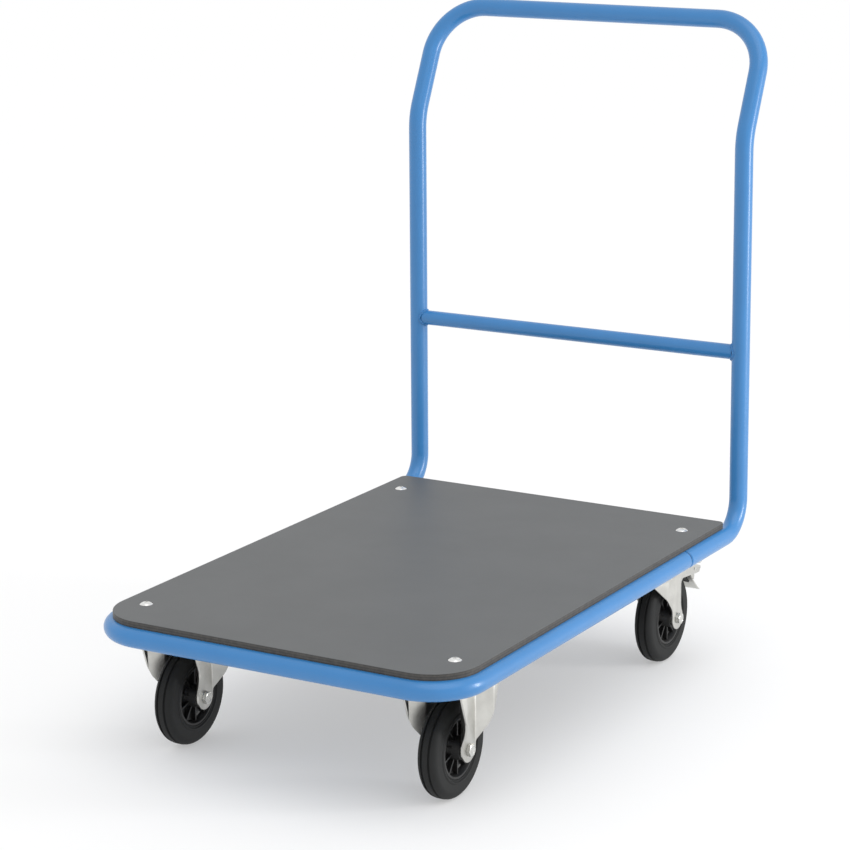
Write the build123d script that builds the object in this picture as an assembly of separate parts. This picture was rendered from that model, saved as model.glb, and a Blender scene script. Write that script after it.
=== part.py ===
from build123d import *
import os

# A four-wheeled platform cart with a tall push handle of bent tube.
# The origin is on the floor under the middle of the cart. +Z is up, +Y points to the
# handle end and +X to the right-hand side. Everything is in millimetres.

# Overall layout
overall_length = 1075.0  # front of the frame tube to the back of the grip
track = 612.0  # between the centre lines of the two side tubes
deck_top = 228.0  # loading height
deck_length = 904.0
deck_thickness = 10.0
deck_overhang = 1.0  # past the side tubes' centre lines
deck_back_corner = 10.0
deck_edge_break = 0.6
upright_back = 959.0  # from the front tube's centre line to the uprights
kink_height = 856.0  # where the uprights start to lean back
grip_height = 1038.0  # centre line of the grip
crossbar_height = 502.0

# Tubes
tube_r = 15.0
tube_bore = 13.0
corner_bend = 75.0  # centre-line radius of the frame's front corners
foot_bend = 55.0  # of the handle's feet, which start to rise where the deck ends
kink_bend = 100.0
grip_bend = 88.0
crossbar_r = 12.5
crossbar_bore = 11.0
member_side = 30.0
member_wall = 2.0
seam_back = 750.0  # from the front tube's centre line to the seam
seam_gap = 3.0
spigot_r = 12.95
spigot_bore = 11.0
spigot_length = 140.0
spigot_screw_offset = 54.0

# Casters
wheel_r = 76.0
caster_x = 228.5  # centre plane of each wheel
fixed_axle_back = 131.5  # from the front tube's centre line
trail = 57.5  # from a swivel's king bolt to its axle
king_back = 773.0
plate_length = 140.0
plate_width = 110.0
plate_thickness = 4.0
hole_pitch_y = 105.0
hole_pitch_x = 75.0
sheet = 3.0  # steel of the brackets and forks
leg_x = 30.0  # outer face of a leg beside the axle
leg_end_r = 18.5
flare_x = 50.0  # outer face of a leg where it has spread to its full width
crown_z = 166.0  # top of the swivel fork
crown_thickness = 4.0

leg_foot_z = 40.0  # a leg's sheet before it is cut to its outline starts here
bracket_edge = [(18.5, 76), (18.5, 84), (33, 108), (60, 184)]  # (back, up) of a leg seen from the side
fork_line = [(17.5, -95), (30, -36), (30, 92)]  # (out, back) of a leg seen from above
fork_edge = [(18.5, 76), (12, 97), (12, 140), (81.5, 133), (89, 142.5), (58, 154), (46, 166)]
fork_edge += [(-92, 166), (-92, 161), (-40, 116.5), (-18.5, 92), (-18.5, 76)]
crown_front = -104.0  # from the axle
crown_back = -11.0
crown_width = 100.0
plate_corner = 12.0
crown_corner = 20.0

# Swivel race
race_outer = 44.0
race_inner = 28.0
race_height = 4.6
race_play = 0.3
ball_r = 4.0
ball_circle = 36.0
ball_count = 18

# Hardware
m8_r = 4.0
m8_hole_r = 4.25
m8_across_flats = 13.0
m8_head = 5.3
m8_nut = 8.0
washer_r = 8.0
washer_bore = 4.2
washer_thickness = 1.6
rivet_nut_r = 5.5
rivet_nut_height = 16.0
caster_bolt_reach = 12.0  # into the rivet nut
deck_head_r = 10.0
deck_head_height = 4.0
deck_seat_depth = 0.5
deck_seat_r = 10.3
deck_bolt_reach = 14.0  # below the caster plate
spigot_screw_r = 3.0
spigot_screw_head_r = 5.25
spigot_screw_head = 3.0
spigot_screw_reach = 7.0
m10_r = 5.0
m10_hole_r = 5.1
m10_across_flats = 17.0
m10_head = 6.4
m10_nut = 9.0
m10_thread_out = 2.0  # past the nut
king_r = 6.0
king_across_flats = 19.0
king_head = 7.5
king_nut_height = 10.7
king_washer_r = 12.0
king_washer = 2.0
king_thread_out = 1.0
thread_play = 0.05
running_play = 0.05

# Wheels
hub_half = 22.0
sleeve_r = 7.0
ring_r = 12.0  # of the spacer rings beside the hub
ring_play = 0.4
rim_bore = 11.5
hub_r = 19.0
web_half = 4.0
rim_lip = 8.0  # from the web's outer edge to the tyre's seat
rim_seat = 46.0
rim_half = 15.0
rib_count = 10
rib_thickness = 2.4
rib_depth = 22.0
tyre_half = 16.0
tyre_shoulder = 12.0
side_ring_r = 51.0
side_ring_high = 1.0
side_ring_half = 2.0
groove_x = 6.0
groove_width = 3.0
groove_depth = 3.0
roller_r = 2.1
roller_count = 10
roller_half = 17.0
cage_half = 20.0
cage_wall = 1.8

# Brakes, each drawn as (back, up) from the floor under its axle
brake_pin_y = 66.0
brake_pin_z = 143.0
brake_pin_r = 3.0
brake_pin_half = 30.4
brake_travel = 14.0  # degrees from free to locked
brake_gap = 0.5  # between shoe and tyre at the end of the travel
cheek_x = 26.0
cheek_thickness = 2.0
cheek_eye_r = 7.0
cheek_outline = [(59, 143), (57.8, 132.4), (67.4, 123.2), (70.6, 123.4), (73, 143)]
pedal_line = [(58.5, 133), (90.5, 102.4), (96.5, 98.9)]
pedal_thickness = 2.0
pedal_bend = 6.0
shoe_outline = [(61.48, 128.72), (74.49, 116.28), (71.73, 113.39), (58.72, 125.83)]
shoe_half = 15.0

# Worked out from the above
front_y = -overall_length / 2 + tube_r
grip_y = overall_length / 2 - tube_r
side_x = track / 2
upright_y = front_y + upright_back
deck_back_y = front_y + deck_length
deck_bottom = deck_top - deck_thickness
frame_z = deck_bottom - tube_r
frame_bottom = frame_z - tube_r
seam_y = front_y + seam_back
fixed_y = front_y + fixed_axle_back
king_y = front_y + king_back
swivel_axle_y = king_y + trail
plate_bottom = frame_bottom - plate_thickness
sides = {"left": -1, "right": 1}


def save(shape, node):
    """Write one node's solids."""
    export_step(shape, os.path.join("parts", node + ".step"))


def group(shapes):
    """Separate solids that share one node."""
    return Compound(children=[s for shape in shapes for s in shape.solids()])


def rod(radius, start, end):
    """A round bar between two points."""
    a, b = Vector(*start), Vector(*end)
    plane = Plane(origin=a, z_dir=b - a)
    return extrude(plane * Circle(radius), amount=(b - a).length)


def tube(outer, inner, start, end):
    """A straight round tube between two points."""
    return rod(outer, start, end) - rod(inner, start, end)


def hexagon(across_flats, start, end):
    """A hexagonal head or nut between two points, with its corners turned down."""
    a, b = Vector(*start), Vector(*end)
    plane = Plane(origin=a, z_dir=b - a)
    prism = extrude(plane * RegularPolygon(across_flats / 2, 6, major_radius=False), amount=(b - a).length)
    turned = chamfer(rod(across_flats * 0.577, start, end).edges(), across_flats * 0.06)
    return prism & turned


def plate(x, y, z, length_x, length_y, thickness, corner):
    """A flat plate with rounded corners, its underside at z."""
    outline = Pos(x, y, z) * RectangleRounded(length_x, length_y, corner)
    return extrude(outline, amount=thickness)


def across_face(points, y=0.0, x=0.0):
    """A face drawn as (back, up) points, standing across the cart's X axis."""
    plane = Plane(origin=(x, y, 0), x_dir=(0, 1, 0), z_dir=(1, 0, 0))
    return plane * make_face(Polyline(*points, close=True).edges())


def bent_rod(points, radii, radius):
    """A round bar whose centre line turns at each inner point with the given radius."""
    path = FilletPolyline(*points, radius=radii)
    plane = Plane(origin=path @ 0, z_dir=path % 0)
    return sweep(plane * Circle(radius), path=path)


def bent_strip(points, radius, z_low, z_high):
    """A sheet-metal wall that stands on a bent line in plan, one sheet thick on the line's left."""
    line = FilletPolyline(*points, radius=radius)
    inner = offset(line, amount=sheet, side=Side.LEFT, closed=True)
    return extrude(Pos(0, 0, z_low) * make_face(inner.edges()), amount=z_high - z_low)


def leg_outline(points, fillets):
    """A leg's outline seen from the side, with its round end about the axle, as a slab across X."""
    outline = make_face(Polyline(*points, close=True).edges()) + Pos(0, wheel_r) * Circle(leg_end_r)
    for (y, z), radius in fillets:
        near = outline.vertices().sort_by_distance((y, z, 0))[0]
        outline = fillet(near, radius)
    plane = Plane(origin=(0, 0, 0), x_dir=(0, 1, 0), z_dir=(1, 0, 0))
    return extrude(plane * outline, amount=plate_width, both=True)


def axle_hole():
    """Cutter for the axle bolt's hole in the +X leg."""
    return rod(m10_hole_r, (0, 0, wheel_r), (2 * leg_x, 0, wheel_r))


# Frame, handle and deck

def front_frame_bar(radius):
    """U-shaped bar round the free end and along both sides, as far as the seams."""
    end = seam_y - seam_gap / 2
    points = [(-side_x, end, frame_z), (-side_x, front_y, frame_z)]
    points += [(-x, y, z) for x, y, z in reversed(points)]
    return bent_rod(points, [corner_bend] * 2, radius)


def handle_bar(radius):
    """One bar: feet under the deck's sides, uprights, top leaning back, and the grip."""
    start = seam_y + seam_gap / 2
    points = [
        (-side_x, start, frame_z),
        (-side_x, upright_y, frame_z),
        (-side_x, upright_y, kink_height),
        (-side_x, grip_y, grip_height),
    ]
    points += [(-x, y, z) for x, y, z in reversed(points)]
    radii = [foot_bend, kink_bend, grip_bend]
    return bent_rod(points, radii + radii[::-1], radius)


def spigot_screw_holes(end):
    """Holes from below for the screws on one side of both seams: end is -1 in front, 1 behind."""
    y = seam_y + end * spigot_screw_offset
    holes = [((s * side_x, y, frame_bottom - 1), (s * side_x, y, frame_z)) for s in (-1, 1)]
    return [rod(spigot_screw_r, low, high) for low, high in holes]


def handle_crossbar():
    """Thinner tube between the uprights, its ends shaped to sit on them."""
    ends = [(s * side_x, upright_y, crossbar_height) for s in (-1, 1)]
    bar = tube(crossbar_r, crossbar_bore, *ends)
    for x, y, z in ends:
        bar -= rod(tube_r, (x, y, z - tube_r), (x, y, z + tube_r))
    return bar


def cross_member(y, bolt_xs, nut_xs, side_tubes):
    """Square tube cut to sit on the side tubes, with deck bolt holes and rivet-nut holes below."""
    outer = Pos(0, y, frame_z) * Box(track, member_side, member_side)
    inner_side = member_side - 2 * member_wall
    body = outer - Pos(0, y, frame_z) * Box(track, inner_side, inner_side) - side_tubes
    body = body.solids().sort_by(SortBy.VOLUME)[-1]  # what lies past the side tubes is cut off
    for x in bolt_xs:
        body -= rod(m8_hole_r, (x, y, frame_bottom - 1), (x, y, deck_bottom + 1))
    for x in nut_xs:
        body -= rod(rivet_nut_r, (x, y, frame_bottom - 1), (x, y, frame_z))
    return body


def caster_holes():
    """Each caster plate's four hole centres: (x, y, True where the deck bolt goes through)."""
    holes = []
    for s in (-1, 1):
        for y in (fixed_y, king_y):
            outer_end = -1 if y == fixed_y else 1
            for dx in (-1, 1):
                for dy in (-1, 1):
                    deck_bolt = dx == s and dy == outer_end
                    holes.append((s * caster_x + dx * hole_pitch_x / 2, y + dy * hole_pitch_y / 2, deck_bolt))
    return holes


def plate_holes(x, y):
    """Clearance holes in one caster plate."""
    pattern = [(x + dx * hole_pitch_x / 2, y + dy * hole_pitch_y / 2) for dx in (-1, 1) for dy in (-1, 1)]
    return group([rod(m8_hole_r, (a, b, plate_bottom - 1), (a, b, frame_bottom + 1)) for a, b in pattern])


def deck_board():
    """Flat board with large front corners and small back corners, spot-faced for the bolt heads."""
    width = track + 2 * deck_overhang
    centre_y = (front_y + deck_back_y) / 2
    board = Pos(0, centre_y, deck_bottom + deck_thickness / 2) * Box(width, deck_length, deck_thickness)
    upright = board.edges().filter_by(Axis.Z)
    board = fillet(upright.group_by(Axis.Y)[0], corner_bend)
    board = fillet(board.edges().filter_by(Axis.Z).group_by(Axis.Y)[-1], deck_back_corner)
    board = chamfer(board.faces().sort_by(Axis.Z)[-1].outer_wire().edges(), deck_edge_break)
    for x, y, deck_bolt in caster_holes():
        if deck_bolt:
            board -= rod(m8_hole_r, (x, y, deck_bottom - 1), (x, y, deck_top + 1))
            board -= rod(deck_seat_r, (x, y, deck_top - deck_seat_depth), (x, y, deck_top + 1))
    return board


def deck_bolt(x, y):
    """Mushroom-head bolt down through the deck, a cross member and a caster plate."""
    seat = deck_top - deck_seat_depth
    sphere_r = (deck_head_r**2 + deck_head_height**2) / (2 * deck_head_height)
    head = Pos(x, y, seat + deck_head_height - sphere_r) * Sphere(sphere_r)
    head &= rod(deck_head_r, (x, y, seat), (x, y, seat + deck_head_height + 1))
    return head + rod(m8_r, (x, y, plate_bottom - deck_bolt_reach), (x, y, seat))


def spigot(x):
    """Sleeve inside the tubes under one seam, with the holes for its two screws."""
    low, high = seam_y - spigot_length / 2, seam_y + spigot_length / 2
    body = tube(spigot_r, spigot_bore, (x, low, frame_z), (x, high, frame_z))
    for end in (-1, 1):
        y = seam_y + end * spigot_screw_offset
        body -= rod(spigot_screw_r + thread_play, (x, y, frame_bottom), (x, y, frame_z))
    return body


def spigot_screw(x, y):
    """Round-headed screw up into a spigot."""
    head = rod(spigot_screw_head_r, (x, y, frame_bottom - spigot_screw_head), (x, y, frame_bottom))
    head = fillet(head.edges().sort_by(Axis.Z)[0], spigot_screw_head * 2 / 3)
    end = frame_bottom + spigot_screw_reach
    return head + rod(spigot_screw_r - thread_play, (x, y, frame_bottom - 1), (x, y, end))


def lock_nut(x, y, top):
    """Nut under a caster plate on one deck bolt."""
    nut = hexagon(m8_across_flats, (x, y, top - m8_nut), (x, y, top))
    return nut - rod(m8_r + thread_play, (x, y, top - m8_nut - 1), (x, y, top + 1))


def caster_bolt(x, y, top):
    """Short hexagon bolt up into a rivet nut."""
    head = hexagon(m8_across_flats, (x, y, top - m8_head), (x, y, top))
    return head + rod(m8_r, (x, y, top - 1), (x, y, frame_bottom + caster_bolt_reach))


def build_plate_fasteners(holes):
    """Write the bolts, nuts, washers and rivet nuts of the four caster plates."""
    under = plate_bottom - washer_thickness
    deck_holes = [(x, y) for x, y, deck in holes if deck]
    other_holes = [(x, y) for x, y, deck in holes if not deck]
    nut_low, nut_high = frame_bottom, frame_bottom + rivet_nut_height
    save(group([deck_bolt(x, y) for x, y in deck_holes]), "deck_bolts")
    save(group([lock_nut(x, y, under) for x, y in deck_holes]), "deck_bolt_nuts")
    save(group([caster_bolt(x, y, under) for x, y in other_holes]), "caster_bolts")
    nuts = [tube(rivet_nut_r, m8_r + thread_play, (x, y, nut_low), (x, y, nut_high)) for x, y in other_holes]
    save(group(nuts), "rivet_nuts")
    washers = [tube(washer_r, washer_bore, (x, y, under), (x, y, plate_bottom)) for x, y, deck in holes]
    save(group(washers), "plate_washers")


def build_frame():
    """Write the frame, the handle, the deck and the fasteners that hold them."""
    front_bar = front_frame_bar(tube_r)
    push_bar = handle_bar(tube_r)
    save(front_bar - front_frame_bar(tube_bore) - group(spigot_screw_holes(-1)), "front_frame_tube")
    save(push_bar - handle_bar(tube_bore) - group(spigot_screw_holes(1)), "handle_tube")
    save(handle_crossbar(), "handle_crossbar")

    screw_ys = [seam_y + end * spigot_screw_offset for end in (-1, 1)]
    save(group([spigot(s * side_x) for s in (-1, 1)]), "joint_spigots")
    save(group([spigot_screw(s * side_x, y) for s in (-1, 1) for y in screw_ys]), "spigot_screws")

    holes = caster_holes()
    member_ys = [fixed_y - hole_pitch_y / 2, fixed_y + hole_pitch_y / 2]
    member_ys += [king_y - hole_pitch_y / 2, king_y + hole_pitch_y / 2]
    for number, y in enumerate(member_ys, start=1):
        bolts = [a for a, b, deck in holes if abs(b - y) < 1 and deck]
        nuts = [a for a, b, deck in holes if abs(b - y) < 1 and not deck]
        side_tubes = front_bar if y < seam_y else push_bar
        save(cross_member(y, bolts, nuts, side_tubes), f"cross_member_{number}")
    save(deck_board(), "deck_board")

    build_plate_fasteners(holes)


# Casters

def fixed_bracket(x):
    """Plate and two flared legs, pressed from one sheet."""
    y = fixed_y
    body = plate(x, y, plate_bottom, plate_width, plate_length, plate_thickness, plate_corner)
    body -= plate_holes(x, y)
    flare_y = leg_end_r + flare_x - leg_x
    line = [(flare_x, -64), (flare_x, -flare_y), (leg_x, -leg_end_r)]
    line += [(a, -b) for a, b in reversed(line)]
    wall = bent_strip(line, 6.0, leg_foot_z, plate_bottom)
    fillets = [((33, 108), 30), ((-33, 108), 30), ((leg_end_r, 84), 14), ((-leg_end_r, 84), 14)]
    outline = [(-a, z) for a, z in reversed(bracket_edge)] + bracket_edge
    leg = (wall & leg_outline(outline, fillets)) - axle_hole()
    return body + Pos(x, y, 0) * leg + Pos(x, y, 0) * mirror(leg, Plane.YZ)


def swivel_fork(x):
    """Crown, raised race ring and two legs that trail behind the king bolt."""
    wall = bent_strip(fork_line, 8.0, leg_foot_z, crown_z)
    fillets = [((12, 97), 20), ((12, 140), 9), ((81.5, 133), 3), ((89, 142.5), 3), ((58, 154), 15)]
    fillets += [((-40, 116.5), 40), ((-18.5, 92), 20)]
    leg = wall & leg_outline(fork_edge, fillets)
    leg -= axle_hole()
    leg -= rod(brake_pin_r + running_play, (0, brake_pin_y, brake_pin_z), (2 * leg_x, brake_pin_y, brake_pin_z))
    centre, length = (crown_front + crown_back) / 2, crown_back - crown_front
    crown = plate(0, centre, crown_z - crown_thickness, crown_width, length, crown_thickness, crown_corner)
    keep = plate(0, centre, 0, crown_width, length, crown_z, crown_corner)
    behind_y = crown_back - crown_corner
    keep += Pos(0, behind_y + crown_width, crown_z / 2) * Box(crown_width, 2 * crown_width, crown_z)
    leg &= keep
    body = crown + leg + mirror(leg, Plane.YZ)
    body += tube(race_outer, race_inner, (0, -trail, crown_z), (0, -trail, crown_z + race_height))
    body -= rod(king_r + running_play, (0, -trail, crown_z - race_outer), (0, -trail, crown_z + race_outer))
    return Pos(x, swivel_axle_y, 0) * body


def swivel_plate(x):
    """Mounting plate with the upper race ring pressed down from it."""
    race_bottom = crown_z + race_height + 2 * ball_r + 2 * race_play
    body = plate(x, king_y, plate_bottom, plate_width, plate_length, plate_thickness, plate_corner)
    body += tube(race_outer, race_inner, (x, king_y, race_bottom), (x, king_y, plate_bottom))
    body -= plate_holes(x, king_y)
    return body - rod(king_r, (x, king_y, plate_bottom - 1), (x, king_y, frame_bottom + 1))


def race_balls(x):
    """Ring of balls between the fork and the mounting plate."""
    z = crown_z + race_height + race_play + ball_r
    turns = [Rot(0, 0, 360 * i / ball_count) for i in range(ball_count)]
    return group([Pos(x, king_y, z) * turn * Pos(ball_circle, 0, 0) * Sphere(ball_r) for turn in turns])


def king_bolt(x):
    """Bolt that the fork turns on, its head on top of the mounting plate."""
    head = hexagon(king_across_flats, (x, king_y, frame_bottom), (x, king_y, frame_bottom + king_head))
    return head + rod(king_r, (x, king_y, king_nut_low() - king_thread_out), (x, king_y, frame_bottom + 1))


def king_nut_low():
    """Lower end of the king nut."""
    return crown_z - crown_thickness - race_play - king_washer - king_nut_height


def king_nut(x):
    """Lock nut under the fork's crown, with its washer."""
    low = king_nut_low()
    middle = low + king_nut_height
    high = middle + king_washer
    nut = hexagon(king_across_flats, (x, king_y, low), (x, king_y, middle))
    washer = rod(king_washer_r, (x, king_y, middle), (x, king_y, high))
    return nut + washer - rod(king_r + thread_play, (x, king_y, low - 1), (x, king_y, high + 1))


def axle_parts(x, y):
    """Axle bolt, lock nut, sleeve and the two spacer rings of one wheel."""
    inner = leg_x - sheet
    z = wheel_r
    nut_end = x - leg_x - m10_nut
    head = hexagon(m10_across_flats, (x + leg_x, y, z), (x + leg_x + m10_head, y, z))
    bolt = head + rod(m10_r, (nut_end - m10_thread_out, y, z), (x + leg_x + 1, y, z))
    nut = hexagon(m10_across_flats, (nut_end, y, z), (x - leg_x, y, z))
    nut -= rod(m10_r + thread_play, (nut_end - 1, y, z), (x, y, z))
    sleeve = tube(sleeve_r, m10_r + thread_play, (x - inner, y, z), (x + inner, y, z))
    rings = []
    for s in (-1, 1):
        start, end = (x + s * (hub_half + ring_play), y, z), (x + s * inner, y, z)
        rings.append(tube(ring_r, sleeve_r + thread_play, start, end))
    return {"bolt": bolt, "nut": nut, "sleeve": sleeve, "rings": group(rings)}


def wheel_rim(x, y):
    """Moulded rim: hub, thin web, radial ribs on both faces and the ring that carries the tyre."""
    half_profile = [
        (rim_bore, hub_half), (hub_r - 3, hub_half), (hub_r, web_half + 2), (hub_r, web_half),
        (rim_seat - rim_lip, web_half), (rim_seat - rim_lip / 2, rim_half), (rim_seat, rim_half),
    ]
    points = half_profile + [(r, -a) for r, a in reversed(half_profile)]
    section = make_face(Polyline(*[(0, r, a) for r, a in points], close=True).edges())
    body = revolve(section, Axis.Z)
    rib_start, rib_end = hub_r - 4, rim_seat - 6
    for i in range(rib_count):
        rib = Box(rib_end - rib_start, rib_thickness, rib_depth)
        body += Rot(0, 0, 360 * i / rib_count) * Pos((rib_end + rib_start) / 2, 0, 0) * rib
    return Pos(x, y, wheel_r) * Rot(0, 90, 0) * body


def tyre(x, y):
    """Solid rubber tyre: flat sides with a raised ring, round shoulders and two tread grooves."""
    shoulder_r = wheel_r - tyre_shoulder
    crown_half = tyre_half - tyre_shoulder
    top = (tyre_half + side_ring_high, side_ring_r)
    sketch = Polyline((0, rim_seat), (rim_half, rim_seat), (rim_half, side_ring_r - side_ring_half), top)
    sketch += Polyline(top, (tyre_half, side_ring_r + side_ring_half), (tyre_half, shoulder_r))
    sketch += RadiusArc((tyre_half, shoulder_r), (crown_half, wheel_r), -tyre_shoulder)
    sketch += Polyline((crown_half, wheel_r), (0, wheel_r), (0, rim_seat))
    half = make_face(sketch.edges())
    half -= Pos(groove_x, wheel_r) * Rectangle(groove_width, 2 * (groove_depth + 1))
    section = half + mirror(half, Plane.YZ)
    return Pos(x, y, wheel_r) * revolve(section, Axis.X)


def roller_bearing(x, y):
    """Plastic cage with steel rollers, between the axle sleeve and the rim."""
    middle = (sleeve_r + rim_bore) / 2
    slot = Box(2 * (roller_half + running_play), 2 * (roller_r + running_play), 4 * cage_wall)
    cage = tube(middle + cage_wall / 2, middle - cage_wall / 2, (-cage_half, 0, 0), (cage_half, 0, 0))
    shapes = []
    for i in range(roller_count):
        turn = Rot(360 * i / roller_count, 0, 0)
        cage -= turn * Pos(0, 0, middle) * slot
        shapes.append(turn * rod(roller_r, (-roller_half, 0, middle), (roller_half, 0, middle)))
    return Pos(x, y, wheel_r) * group([cage] + shapes)


def brake_lever(x):
    """Two cheeks on the pin between the fork's arms, and the pedal that joins them."""
    inner = cheek_x - cheek_thickness
    outline = across_face(cheek_outline, x=inner)
    cheek = extrude(outline, amount=cheek_thickness)
    cheek += rod(cheek_eye_r, (inner, brake_pin_y, brake_pin_z), (cheek_x, brake_pin_y, brake_pin_z))
    cheek -= rod(brake_pin_r + running_play, (0, brake_pin_y, brake_pin_z), (leg_x, brake_pin_y, brake_pin_z))
    line = FilletPolyline(*pedal_line, radius=pedal_bend)
    section = make_face(offset(line, amount=pedal_thickness / 2, side=Side.BOTH).edges())
    plane = Plane(origin=(0, 0, 0), x_dir=(0, 1, 0), z_dir=(1, 0, 0))
    pedal = extrude(plane * section, amount=inner, both=True)
    return Pos(x, swivel_axle_y, 0) * (cheek + mirror(cheek, Plane.YZ) + pedal)


def brake_shoe(x):
    """Block under the pedal, cut to the tyre's radius where it presses on it."""
    block = extrude(across_face(shoe_outline), amount=shoe_half, both=True)
    press = Pos(0, brake_pin_y, brake_pin_z) * Rot(-brake_travel, 0, 0) * Pos(0, -brake_pin_y, -brake_pin_z)
    release = Pos(0, brake_pin_y, brake_pin_z) * Rot(brake_travel, 0, 0) * Pos(0, -brake_pin_y, -brake_pin_z)
    tyre_space = rod(wheel_r + brake_gap, (-leg_x, 0, wheel_r), (leg_x, 0, wheel_r))
    return Pos(x, swivel_axle_y, 0) * (release * (press * block - tyre_space))


def brake_pin(x):
    """Pin across the fork's arms that the brake lever turns on, peened flush."""
    y = swivel_axle_y + brake_pin_y
    return rod(brake_pin_r, (x - brake_pin_half, y, brake_pin_z), (x + brake_pin_half, y, brake_pin_z))


def build_wheel(x, y, place):
    """Write one wheel's rim, tyre and bearing."""
    save(wheel_rim(x, y), "wheel_rim_" + place)
    save(tyre(x, y), "tyre_" + place)
    save(roller_bearing(x, y), "roller_bearing_" + place)


def build_casters():
    """Write both fixed and both swivel casters."""
    fixed_axles = []
    for side, s in sides.items():
        x = s * caster_x
        save(fixed_bracket(x), "fixed_bracket_" + side)
        fixed_axles.append(axle_parts(x, fixed_y))
        build_wheel(x, fixed_y, "front_" + side)
        build_wheel(x, swivel_axle_y, "rear_" + side)
        save(swivel_plate(x), "swivel_plate_" + side)
        save(swivel_fork(x), "swivel_fork_" + side)
        save(race_balls(x), "race_balls_" + side)
        swivel_axle = axle_parts(x, swivel_axle_y)
        save(swivel_axle["bolt"], "swivel_axle_bolt_" + side)
        save(swivel_axle["nut"], "swivel_axle_nut_" + side)
        save(swivel_axle["sleeve"], "swivel_axle_sleeve_" + side)
        save(swivel_axle["rings"], "swivel_spacer_rings_" + side)
        save(brake_lever(x), "brake_lever_" + side)
        save(brake_shoe(x), "brake_shoe_" + side)
        save(brake_pin(x), "brake_pin_" + side)
    for part, node in (("bolt", "fixed_axle_bolts"), ("nut", "fixed_axle_nuts")):
        save(group([axle[part] for axle in fixed_axles]), node)
    save(group([axle["sleeve"] for axle in fixed_axles]), "fixed_axle_sleeves")
    save(group([axle["rings"] for axle in fixed_axles]), "fixed_spacer_rings")
    save(group([king_bolt(s * caster_x) for s in sides.values()]), "king_bolts")
    save(group([king_nut(s * caster_x) for s in sides.values()]), "king_nuts")


os.makedirs("parts", exist_ok=True)
build_frame()
build_casters()
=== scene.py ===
import logging
import math
from dataclasses import dataclass
from enum import Enum
from typing import Callable, ClassVar, Iterable, Sequence

import bmesh
import bpy
from mathutils import Matrix, Vector


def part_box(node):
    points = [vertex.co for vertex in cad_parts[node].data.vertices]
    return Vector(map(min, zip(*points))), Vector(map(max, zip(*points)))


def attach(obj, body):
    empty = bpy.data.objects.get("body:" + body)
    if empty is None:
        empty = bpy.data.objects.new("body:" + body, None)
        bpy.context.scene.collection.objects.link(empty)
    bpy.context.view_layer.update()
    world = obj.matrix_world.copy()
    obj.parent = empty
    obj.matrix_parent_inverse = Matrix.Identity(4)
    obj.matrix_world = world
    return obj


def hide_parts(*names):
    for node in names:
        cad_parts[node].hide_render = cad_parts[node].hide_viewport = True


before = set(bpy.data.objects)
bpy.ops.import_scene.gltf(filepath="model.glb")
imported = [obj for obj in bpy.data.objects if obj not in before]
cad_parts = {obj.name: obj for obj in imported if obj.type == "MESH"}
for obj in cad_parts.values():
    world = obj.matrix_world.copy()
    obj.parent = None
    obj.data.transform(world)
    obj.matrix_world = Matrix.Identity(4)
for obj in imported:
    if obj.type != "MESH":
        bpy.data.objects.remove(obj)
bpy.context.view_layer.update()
log = logging.getLogger("platform_cart")

MM = 0.001
TURN = 2 * math.pi
SIDES = {"left": -1, "right": 1}
ENDS = ("front", "rear")
MEMBERS = [f"cross_member_{number}" for number in range(1, 5)]
MERGE_DISTANCE = 2e-6
SHARP_ANGLE = math.radians(32)
BEVEL_ANGLE = math.radians(50)
ARC_STEP = math.radians(5)

Pair = tuple[float, float]
Triple = tuple[float, float, float]
Settings = dict[str, object]
Socket = bpy.types.NodeSocket
Links = dict[str, Socket]


class Body(str, Enum):
    """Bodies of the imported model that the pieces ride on."""

    FRAME = "frame"
    SWIVEL = "swivel"
    BRAKE = "brake"

    def on(self, side: str) -> str:
        """Name of this body on one side of the cart."""
        return f"{self.value}_{side}"


class Slot(str, Enum):
    """Material slots that each finish belongs to."""

    FRAME_PAINT = "frame_paint"
    DECK = "deck"
    ZINC = "zinc"
    BRIGHT_STEEL = "bright_steel"
    TYRE = "tyre"
    RIM = "rim"
    SHOE = "shoe"


# Finishes


def linear(hex_colour: str) -> tuple[float, float, float, float]:
    """Turn an sRGB hex colour into linear values.

    Args:
        hex_colour: six hex digits, such as "4d8fd1".

    Returns:
        Linear red, green and blue, and full alpha.
    """
    out = []
    for i in (0, 2, 4):
        c = int(hex_colour[i : i + 2], 16) / 255
        out.append(c / 12.92 if c <= 0.04045 else ((c + 0.055) / 1.055) ** 2.4)
    return out[0], out[1], out[2], 1.0


class Nodes:
    """A node tree that is put together node by node."""

    def __init__(self, tree: bpy.types.NodeTree) -> None:
        """Take the tree to add to."""
        self.tree = tree

    def add(self, kind: str, settings: Settings, links: Links) -> bpy.types.Node:
        """Add a node with its settings and links.

        Args:
            kind: the node's type name.
            settings: values for input sockets by name, or for the node's own properties.
            links: what each input socket is linked from.

        Returns:
            The new node.
        """
        node = self.tree.nodes.new(kind)
        for name, value in settings.items():
            if name in node.inputs:
                node.inputs[name].default_value = value
            else:
                setattr(node, name, value)
        for name, source in links.items():
            self.tree.links.new(source, node.inputs[name])
        return node

    def math(self, operation: str, *values: float | Socket) -> Socket:
        """Result of a Math node whose inputs are numbers or linked sockets."""
        node = self.add("ShaderNodeMath", {"operation": operation}, {})
        for socket, value in zip(node.inputs, values):
            if isinstance(value, Socket):
                self.tree.links.new(value, socket)
            else:
                socket.default_value = value
        return node.outputs[0]


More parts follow.
